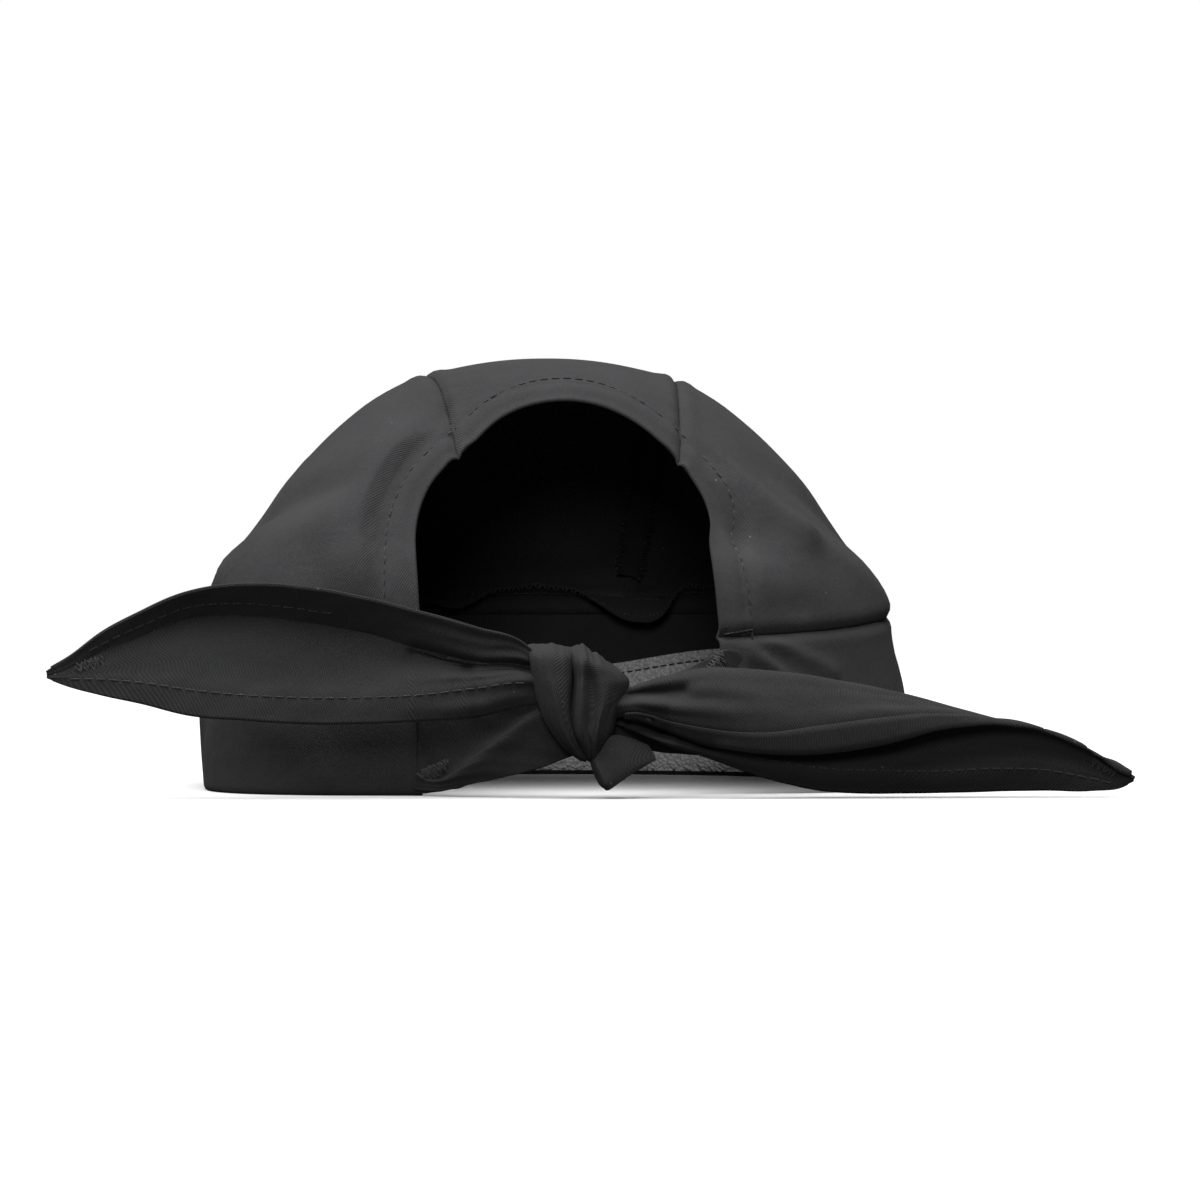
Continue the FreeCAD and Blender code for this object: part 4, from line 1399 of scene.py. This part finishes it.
SKY_STRENGTH = 0.07
SUN_STRENGTH = 4.3
SUN_SPREAD = 75
FRONT_POWER = 4.4
FRONT_WIDTH = 0.35
SUN_PLACE = (-0.22, -0.3, 1.4)
FRONT_PLACE = (-0.17, -1.48, 0.44)
PAPER_SEEN, PAPER_THROWN = 0.93, 0.06
FLOOR_REACH = 30000.0


def studio_paper():
    """Paper that the camera sees as near white, but that throws back less light than white paper
    would, as if it were kept small: a black cap stays dark underneath."""
    paper = bpy.data.materials.new("Studio paper")
    paper.use_nodes = True
    tree = paper.node_tree
    tree.nodes.remove(tree.nodes["Principled BSDF"])
    seen, thrown = (tree.nodes.new("ShaderNodeBsdfDiffuse") for _ in range(2))
    seen.inputs["Color"].default_value = (*[PAPER_SEEN] * 3, 1)
    thrown.inputs["Color"].default_value = (*[PAPER_THROWN] * 3, 1)
    either = tree.nodes.new("ShaderNodeMixShader")
    rays = tree.nodes.new("ShaderNodeLightPath")
    tree.links.new(rays.outputs["Is Camera Ray"], either.inputs["Fac"])
    tree.links.new(thrown.outputs[0], either.inputs[1])
    tree.links.new(seen.outputs[0], either.inputs[2])
    tree.links.new(either.outputs[0], tree.nodes["Material Output"].inputs["Surface"])
    return paper


def sky_for_camera(tree):
    """The camera sees a white sky, while the cap is lit by a weak one."""
    weak = tree.nodes["Background"]
    white = tree.nodes.new("ShaderNodeBackground")
    rays = tree.nodes.new("ShaderNodeLightPath")
    either = tree.nodes.new("ShaderNodeMixShader")
    tree.links.new(rays.outputs["Is Camera Ray"], either.inputs["Fac"])
    tree.links.new(weak.outputs[0], either.inputs[1])
    tree.links.new(white.outputs[0], either.inputs[2])
    white.inputs["Color"].default_value = (1, 1, 1, 1)
    tree.links.new(either.outputs[0], tree.nodes["World Output"].inputs["Surface"])


def add_light(name, kind, place, power, spread):
    """Light that points at the cap; spread is a sun's angle or a lamp's width."""
    data = bpy.data.lights.new(name, kind)
    data.energy = power
    if kind == "SUN":
        data.angle = spread
    else:
        data.shape = "DISK"
        data.size = spread
    lamp = bpy.data.objects.new(name + "_light", data)
    lamp.location = place
    across = math.hypot(place[0], place[1])
    lean = math.atan2(across, place[2] - 0.05)
    lamp.rotation_euler = (lean, 0, math.atan2(-place[1], -place[0]) - math.pi / 2)
    bpy.context.scene.collection.objects.link(lamp)


def make_stage():
    """Wide pale floor, a broad soft light above the cap, a lamp beside the camera that shines in at
    the opening, and the camera low behind the cap."""
    turn = np.linspace(0, 2 * math.pi, 97)
    radii = np.array([0.0, 500.0, 3000.0, FLOOR_REACH])[:, None]
    grid = np.stack([radii * np.cos(turn), radii * np.sin(turn), 0 * radii * turn], -1)
    faces = grid_faces(*grid.shape[:2])
    floor = add_mesh("studio_floor", grid.reshape(-1, 3), faces)
    floor.data.materials.append(studio_paper())
    scene = bpy.context.scene
    scene.world = bpy.data.worlds.new("Studio")
    scene.world.use_nodes = True
    sky = scene.world.node_tree.nodes["Background"]
    sky.inputs["Color"].default_value = (1, 1, 1, 1)
    sky.inputs["Strength"].default_value = SKY_STRENGTH
    add_light("top", "SUN", SUN_PLACE, SUN_STRENGTH, math.radians(SUN_SPREAD))
    add_light("front", "AREA", FRONT_PLACE, FRONT_POWER, FRONT_WIDTH)
    lens = bpy.data.cameras.new("camera")
    lens.lens = CAMERA_LENS
    lens.sensor_width = 36
    lens.clip_start, lens.clip_end = 0.05, 20
    camera = bpy.data.objects.new("camera", lens)
    camera.location = CAMERA * MM
    camera.rotation_euler = (math.radians(90 + CAMERA_TILT), 0, math.radians(-CAMERA_TURN))
    scene.collection.objects.link(camera)
    scene.camera = camera
    scene.view_settings.view_transform = "Standard"
    sky_for_camera(scene.world.node_tree)


# ---------------------------------------------------------------- operators


class SKULLCAP_OT_crown(bpy.types.Operator):
    """Make the three crown panels and the hemmed opening"""

    bl_idname = "skullcap.crown"
    bl_label = "Crown and opening"

    def execute(self, context):
        looks = finishes()
        make_panels(crown_lines(), looks["crown_twill"])
        make_opening(looks["lining_twill"], looks["black_thread"])
        return {"FINISHED"}


class SKULLCAP_OT_allowances(bpy.types.Operator):
    """Make the raw, overlocked seam edges inside the crown"""

    bl_idname = "skullcap.allowances"
    bl_label = "Seam edges inside"

    def execute(self, context):
        looks = finishes()
        make_allowances(crown_lines(), looks["lining_twill"], looks["tie_thread"], looks["black_thread"])
        return {"FINISHED"}


class SKULLCAP_OT_band(bpy.types.Operator):
    """Make the band's cloth, stiffener and lining"""

    bl_idname = "skullcap.band"
    bl_label = "Band"

    def execute(self, context):
        make_band(finishes())
        return {"FINISHED"}


class SKULLCAP_OT_sweatband(bpy.types.Operator):
    """Make the towelling sweatband and its stitching"""

    bl_idname = "skullcap.sweatband"
    bl_label = "Sweatband"

    def execute(self, context):
        make_sweatband(finishes())
        return {"FINISHED"}


class SKULLCAP_OT_straps(bpy.types.Operator):
    """Make the ties between the band and the knot"""

    bl_idname = "skullcap.straps"
    bl_label = "Straps"

    def execute(self, context):
        make_straps(finishes())
        return {"FINISHED"}


class SKULLCAP_OT_knot(bpy.types.Operator):
    """Make the knot's folds, its gathers and its hanging corner"""

    bl_idname = "skullcap.knot"
    bl_label = "Knot"

    def execute(self, context):
        make_knot(finishes())
        return {"FINISHED"}


class SKULLCAP_OT_tails(bpy.types.Operator):
    """Make the two free tails with their hems and stitches"""

    bl_idname = "skullcap.tails"
    bl_label = "Tails"

    def execute(self, context):
        make_tails(finishes())
        return {"FINISHED"}


class SKULLCAP_OT_stage(bpy.types.Operator):
    """Make the floor, the lights and the camera"""

    bl_idname = "skullcap.stage"
    bl_label = "Stage"

    def execute(self, context):
        make_stage()
        return {"FINISHED"}


OPERATORS = (
    SKULLCAP_OT_crown,
    SKULLCAP_OT_allowances,
    SKULLCAP_OT_band,
    SKULLCAP_OT_sweatband,
    SKULLCAP_OT_straps,
    SKULLCAP_OT_knot,
    SKULLCAP_OT_tails,
    SKULLCAP_OT_stage,
)


class SKULLCAP_PT_panel(bpy.types.Panel):
    """Sizes, colours and pieces of the cap"""

    bl_idname = "SKULLCAP_PT_panel"
    bl_label = "Skull cap"
    bl_space_type = "VIEW_3D"
    bl_region_type = "UI"
    bl_category = "Skull cap"

    def draw(self, context):
        for group in (context.scene.skull_cap_sizes, context.scene.skull_cap_colours):
            column = self.layout.column()
            for name in type(group).__annotations__:
                column.prop(group, name)
        column = self.layout.column()
        for operator in OPERATORS:
            column.operator(operator.bl_idname)


CLASSES = (SkullCapSizes, SkullCapColours, *OPERATORS, SKULLCAP_PT_panel)


def register():
    """Adds the sizes, the colours, the operators and the panel."""
    for cls in CLASSES:
        bpy.utils.register_class(cls)
    bpy.types.Scene.skull_cap_sizes = bpy.props.PointerProperty(type=SkullCapSizes)
    bpy.types.Scene.skull_cap_colours = bpy.props.PointerProperty(type=SkullCapColours)


def unregister():
    """Takes away what register added."""
    del bpy.types.Scene.skull_cap_colours
    del bpy.types.Scene.skull_cap_sizes
    for cls in reversed(CLASSES):
        bpy.utils.unregister_class(cls)


def main():
    """Makes every piece and the stage."""
    register()
    for operator in OPERATORS:
        area, name = operator.bl_idname.split(".")
        getattr(getattr(bpy.ops, area), name)()


if __name__ == "__main__":
    main()
